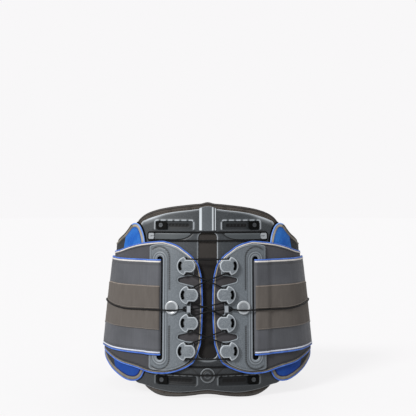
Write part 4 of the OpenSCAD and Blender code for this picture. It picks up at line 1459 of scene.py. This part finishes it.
def feed(side, line):
    """The end of the lacing that leaves through the eyelet."""
    points = [(0.0, line[0], line[1]), (FREE_X, line[0] + (PULL_Z - line[0]) * FREE_X / NOTCH_X, line[1]),
              (NOTCH_X, PULL_Z, CORD_W - 0.7)]
    return cord_of([lie((side * x, z, w)) for x, z, w in points])


def lacing():
    routes = {"left": (-1, [(TOP_LACE, UPPER_CROSS[0]), (UPPER_CROSS[1], MIDDLE_CROSS),
                            (RIGHT_FEED, LOWER_CROSS[0]), (LOWER_CROSS[1], BOTTOM_LACE)], LEFT_FEED),
              "right": (1, [(TOP_LACE, UPPER_CROSS[1]), (UPPER_CROSS[0], LEFT_FEED),
                            (MIDDLE_CROSS, LOWER_CROSS[1]), (LOWER_CROSS[0], BOTTOM_LACE)], RIGHT_FEED)}
    for name, (side, lines, feed_line) in routes.items():
        parts = [strand(side, place, *line) for place, line in zip(GUIDES, lines)] + [feed(side, feed_line)]
        stretch(f"{name}_lacing_cord", joined(parts), CORD,
                ((0, -0.12, 0.13), (side * 0.0165, -0.12, 0.13)), f"{name}_lacing")


def pull_w(t):
    return strap_w(t) + STRAP_T + VELOUR_T + np.interp(t, [30, 60], [1.5, 0.6])


def pull_cords():
    points = [lie(p) for p in ((NOTCH_X + 0.2, PULL_Z, CORD_W - 0.7), (29, PULL_Z, CORD_W + 0.4),
                               (39, 130.4, CORD_W + 0.8), (46, 129.6, CORD_W + 1.7), (54, 129, CORD_W + 1.9),
                               (66, 129, CORD_W + 2.1), (84, 129, CORD_W + 2.5), (91, 129, CORD_W + 2.5))]
    points += [spot(t, pull_w(t), pull_height(t)) for t in np.arange(26, STRAP_END - 1, 6)]
    points.append(spot(STRAP_END - 1.7, pull_w(STRAP_END - 1.7), pull_height(STRAP_END - 1.7)))
    soft_sides("pull_cord_braid", cord_of(points), CORD, "cord", "{side}_pull_cord")


# ---------- Front closure ----------
HANDLE_L, HANDLE_H, HANDLE_T = 63.0, 44.0, 5.0
LEFT_HANDLE_W = FLAP_IN + FLAP_T + FLAP_LIFT + 0.6
RIGHT_HANDLE_W = FLAP_IN + FLAP_T + 1.0 + 0.3 + 0.6


def flap_outline(start, end, corner):
    """Closed outline of a front flap in length round and height, with its free corners cut round."""
    low = [(start, 22), (150, 0.2), (end - corner * 0.6, 0.2)]
    high = [(start, 195), (150, 173), (172, 165), (min(188, end - corner), 165)]
    if end > 190:
        high.append((end - 4, 153))
    tip = [(end - 1, 8), (end, 24), (end, (high[-1][1]) - 16), (end - 1, high[-1][1] - 6)]
    points = smooth(by_angle(low), 5).tolist() + smooth(by_angle(tip), 3).tolist() \
        + smooth(by_angle(high[::-1]), 5).tolist()
    return np.array(points)


def flap_relief(field):
    # Painted shade in the seam's crease inside the edge.
    def top(u, v):
        d = field(u, v)
        seam = hump(d + 8.0, 0.9)
        quilt = 0.25 * np.sin(u * 0.06) * np.sin(v * 0.05)
        return FLAP_T - 0.3 + quilt - 0.4 * seam, 0, 0.6 * seam
    return top


def flap_edges(name, outline, w):
    """Binding round a flap's free edges, and the stitches inside it. The outline starts at the seam."""
    free = outline[(outline[:, 0] > outline[:, 0].min() + 5)]
    return [(f"{name}_binding", trim(inset(free, 1.4), lambda t: w(t) + FLAP_T / 2, 2.0, FLAP_T / 2 + 0.35),
             TAUPE),
            (f"{name}_stitching", stitches(inset(free, 5.4), lambda t: w(t) + FLAP_T + 0.05), THREAD)]


def right_front():
    outline = flap_outline(SEAM - 1.5, 208, 8)
    field = shape(outline)
    box = (float(reach(131)), 0, float(reach(208)), 196)
    data = slab(field, box, 2.4, on_wrap(FLAP_IN), flap_relief(field), 1.4)
    flap = add("right_front_cloth", data, PANEL, "belt", "panel_fabric", ["right_front_flap"], 60)
    for name, arrays, material in flap_edges("right_front", outline, lambda t: FLAP_IN + 0 * t):
        add(name, arrays, material, "belt", "panel_fabric")
    loops = slab(round_box(float(reach(160)), 20, float(reach(204)), 140, 5),
                 (float(reach(160)), 20, float(reach(204)), 140), 2.0, on_wrap(FLAP_IN + FLAP_T + 0.1),
                 lambda u, v: (1.05 + 0.1 * np.sin(u * 0.6) * np.sin(v * 0.5), 0, 0), 0.4)
    add("closure_loop_field", loops, FLEECE, "belt", "fleece", ["loop_field"])


def left_front():
    outline = flap_outline(SEAM + 0.3, 183, 6)
    field = shape(outline)
    base = lambda t: FLAP_IN + np.interp(t, [SEAM + 2, SEAM + 15], [0, FLAP_LIFT])
    box = (float(reach(132)), 0, float(reach(183)), 196)
    data = mirrored(slab(field, box, 2.4, on_wrap(base), flap_relief(field), 1.4))
    flap = add("left_front_cloth", data, PANEL, "left_flap", "panel_fabric", ["left_front_flap"], 60)
    for name, arrays, material in flap_edges("left_front", outline, base):
        add(name, mirrored(arrays), material, "left_flap", "panel_fabric")
    tape = slab(round_box(float(reach(162)), 24, float(reach(180)), 136, 4),
                (float(reach(162)), 24, float(reach(180)), 136), 2.0,
                on_wrap(FLAP_IN + FLAP_LIFT - 1.2), level(0.9), 0.3)
    add("closure_hook_tape", mirrored(tape), TAPE, "left_flap", "hook_tape", ["hook_patch"])
    hinge()


def hinge():
    """Knitted tape over the seam at which the left flap folds open."""
    a, b = float(reach(SEAM - 3.2)), float(reach(SEAM + 3.6))
    field = lambda u, v: np.maximum.reduce([a - u, u - b, np.interp(u, [a, b], [24, 18]) - v,
                                            v - np.interp(u, [a, b], [196, 190])])
    base = lambda t: np.interp(t, [SEAM - 0.6, SEAM + 0.8], [PANEL_OUT + 0.1, FLAP_IN + FLAP_T + 0.15]) \
        + np.interp(t, [SEAM + 2, SEAM + 15], [0, FLAP_LIFT])
    data = mirrored(slab(field, (a, 17, b, 197), 1.0, on_wrap(base), level(0.9), 0.4))
    ends = [mirror_point(spot(SEAM + k, FLAP_IN + FLAP_T, 110)) for k in (-2.0, 2.4)]
    stretch("left_front_hinge_tape", data, TAUPE, ends, crease=60)
    cover = slab(field, (a, 17, b, 197), 2.0, on_wrap(lambda t: PANEL_OUT + 0.1 + 0 * t),
                 level(0.9), 0.4)
    add("right_front_seam_tape", cover, TAUPE, "belt", "panel_fabric")


def stretch(name, data, material, ends, node=None, crease=42):
    """A piece that reaches from one body to another, between two places, built with its placement baked into
    its mesh.
    """
    obj = build(name, data, material, crease)
    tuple(ends[0])
    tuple(ends[1])
    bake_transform(obj)
    if node:
        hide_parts(node)


def mirror_point(p):
    return (-float(p[0]), float(p[1]), float(p[2]))


def handle(first, inner):
    """Pull handle: a ringed grip with ribs on its free end.
    first is its free edge, in millimetres from the middle."""
    r = ARC_R + inner + HANDLE_T / 2 + grow(HANDLE_Z)
    free, tied = (float(reach(180 - math.degrees(math.asin(x / r)))) for x in (first, first + HANDLE_L))
    z0, z1 = HANDLE_Z - HANDLE_H / 2, HANDLE_Z + HANDLE_H / 2
    hole = round_box(tied + 13, z0 + 10, free - 13, z1 - 10, 8)
    field = cut(round_box(tied, z0, free, z1, 12), hole)

    # Painted highlight on the ribs; painted shade in the groove inside the edge.
    def top(u, v):
        ribs = hump(np.mod(free - u, 2.6) - 1.3, 0.6) * (free - u < 12) * (np.abs(v - HANDLE_Z) < 14)
        lip = hump(field(u, v) + 2.4, 0.7)
        return HANDLE_T - 0.6 + 0.5 * ribs - 0.3 * lip, 0.7 * ribs, 0.5 * lip

    return slab(field, (tied, z0, free, z1), 0.7, on_wrap(inner), top, 1.6)


def front_cord(first, inner, start):
    """Points of a pull cord from angle start to the handle's tied edge."""
    mid = inner + HANDLE_T / 2
    end = 180 - 0.1 - math.degrees(math.asin((first + HANDLE_L) / (ARC_R + mid + grow(HANDLE_Z))))
    turns = np.linspace(start, end, max(4, int((end - start) / 3)))
    w = np.interp(turns, [STRAP_END, 150, 160], [float(pull_w(STRAP_END)), mid, mid])
    return turns, spot(turns, w, pull_height(turns))


def handles():
    left_first, right_first = (ARC_R * math.sin(math.radians(a)) for a in (178, 174))
    add("left_pull_handle", mirrored(handle(left_first, LEFT_HANDLE_W)), RUBBER, "left_handle",
        "handle_rubber",
        ["left_handle"])
    add("right_pull_handle", handle(right_first, RIGHT_HANDLE_W), RUBBER, "right_handle", "handle_rubber",
        ["right_handle"])
    start = STRAP_END - 1.7
    points = front_cord(right_first, RIGHT_HANDLE_W, start)[1]
    stretch("right_front_braid", cord_of(points), CORD,
            (tuple(points[0]), tuple(points[-1])), "right_front_cord")
    turns, points = front_cord(left_first, LEFT_HANDLE_W, start)
    split = int(np.searchsorted(turns, 141))
    stretch("left_front_braid_seam", mirrored(cord_of(points[:split + 1])), CORD,
            [mirror_point(spot(SEAM + k, 20, 110)) for k in (-1.5, 4.5)])
    stretch("left_front_braid", mirrored(cord_of(points[split:])), CORD,
            [mirror_point(points[k]) for k in (split + 1, -1)], "left_front_cord")



# ---------- CAD pieces that keep their shape ----------
def finish_cad(node, material, bevel):
    obj = NODES[node]
    obj.data.materials.clear()
    obj.data.materials.append(material)
    modifier = obj.modifiers.new("round", "BEVEL")
    modifier.width = bevel * MM
    modifier.segments = 2
    modifier.limit_method = "ANGLE"
    modifier.angle_limit = math.radians(35)


def carried_over():
    for side in ("left", "right"):
        for level in ("upper", "lower"):
            finish_cad(f"{side}_{level}_hook", HOOK, 0.6)
            finish_cad(f"{side}_{level}_slider", SLIDER, 0.4)
            finish_cad(f"{side}_{level}_screw", SCREW, 0.2)
        finish_cad(f"{side}_eyelet", EYELET, 0.3)
        finish_cad(f"{side}_bridge", BRIDGE, 0.5)



studio()
floor()
back_pad()
window_lining()
back_frame()
centre_rib()
centre_boss()
tongues()
cord_loops()
side_panels()
wings()
plates()
guides()
studs()
straps()
lacing()
pull_cords()
right_front()
left_front()
handles()
carried_over()
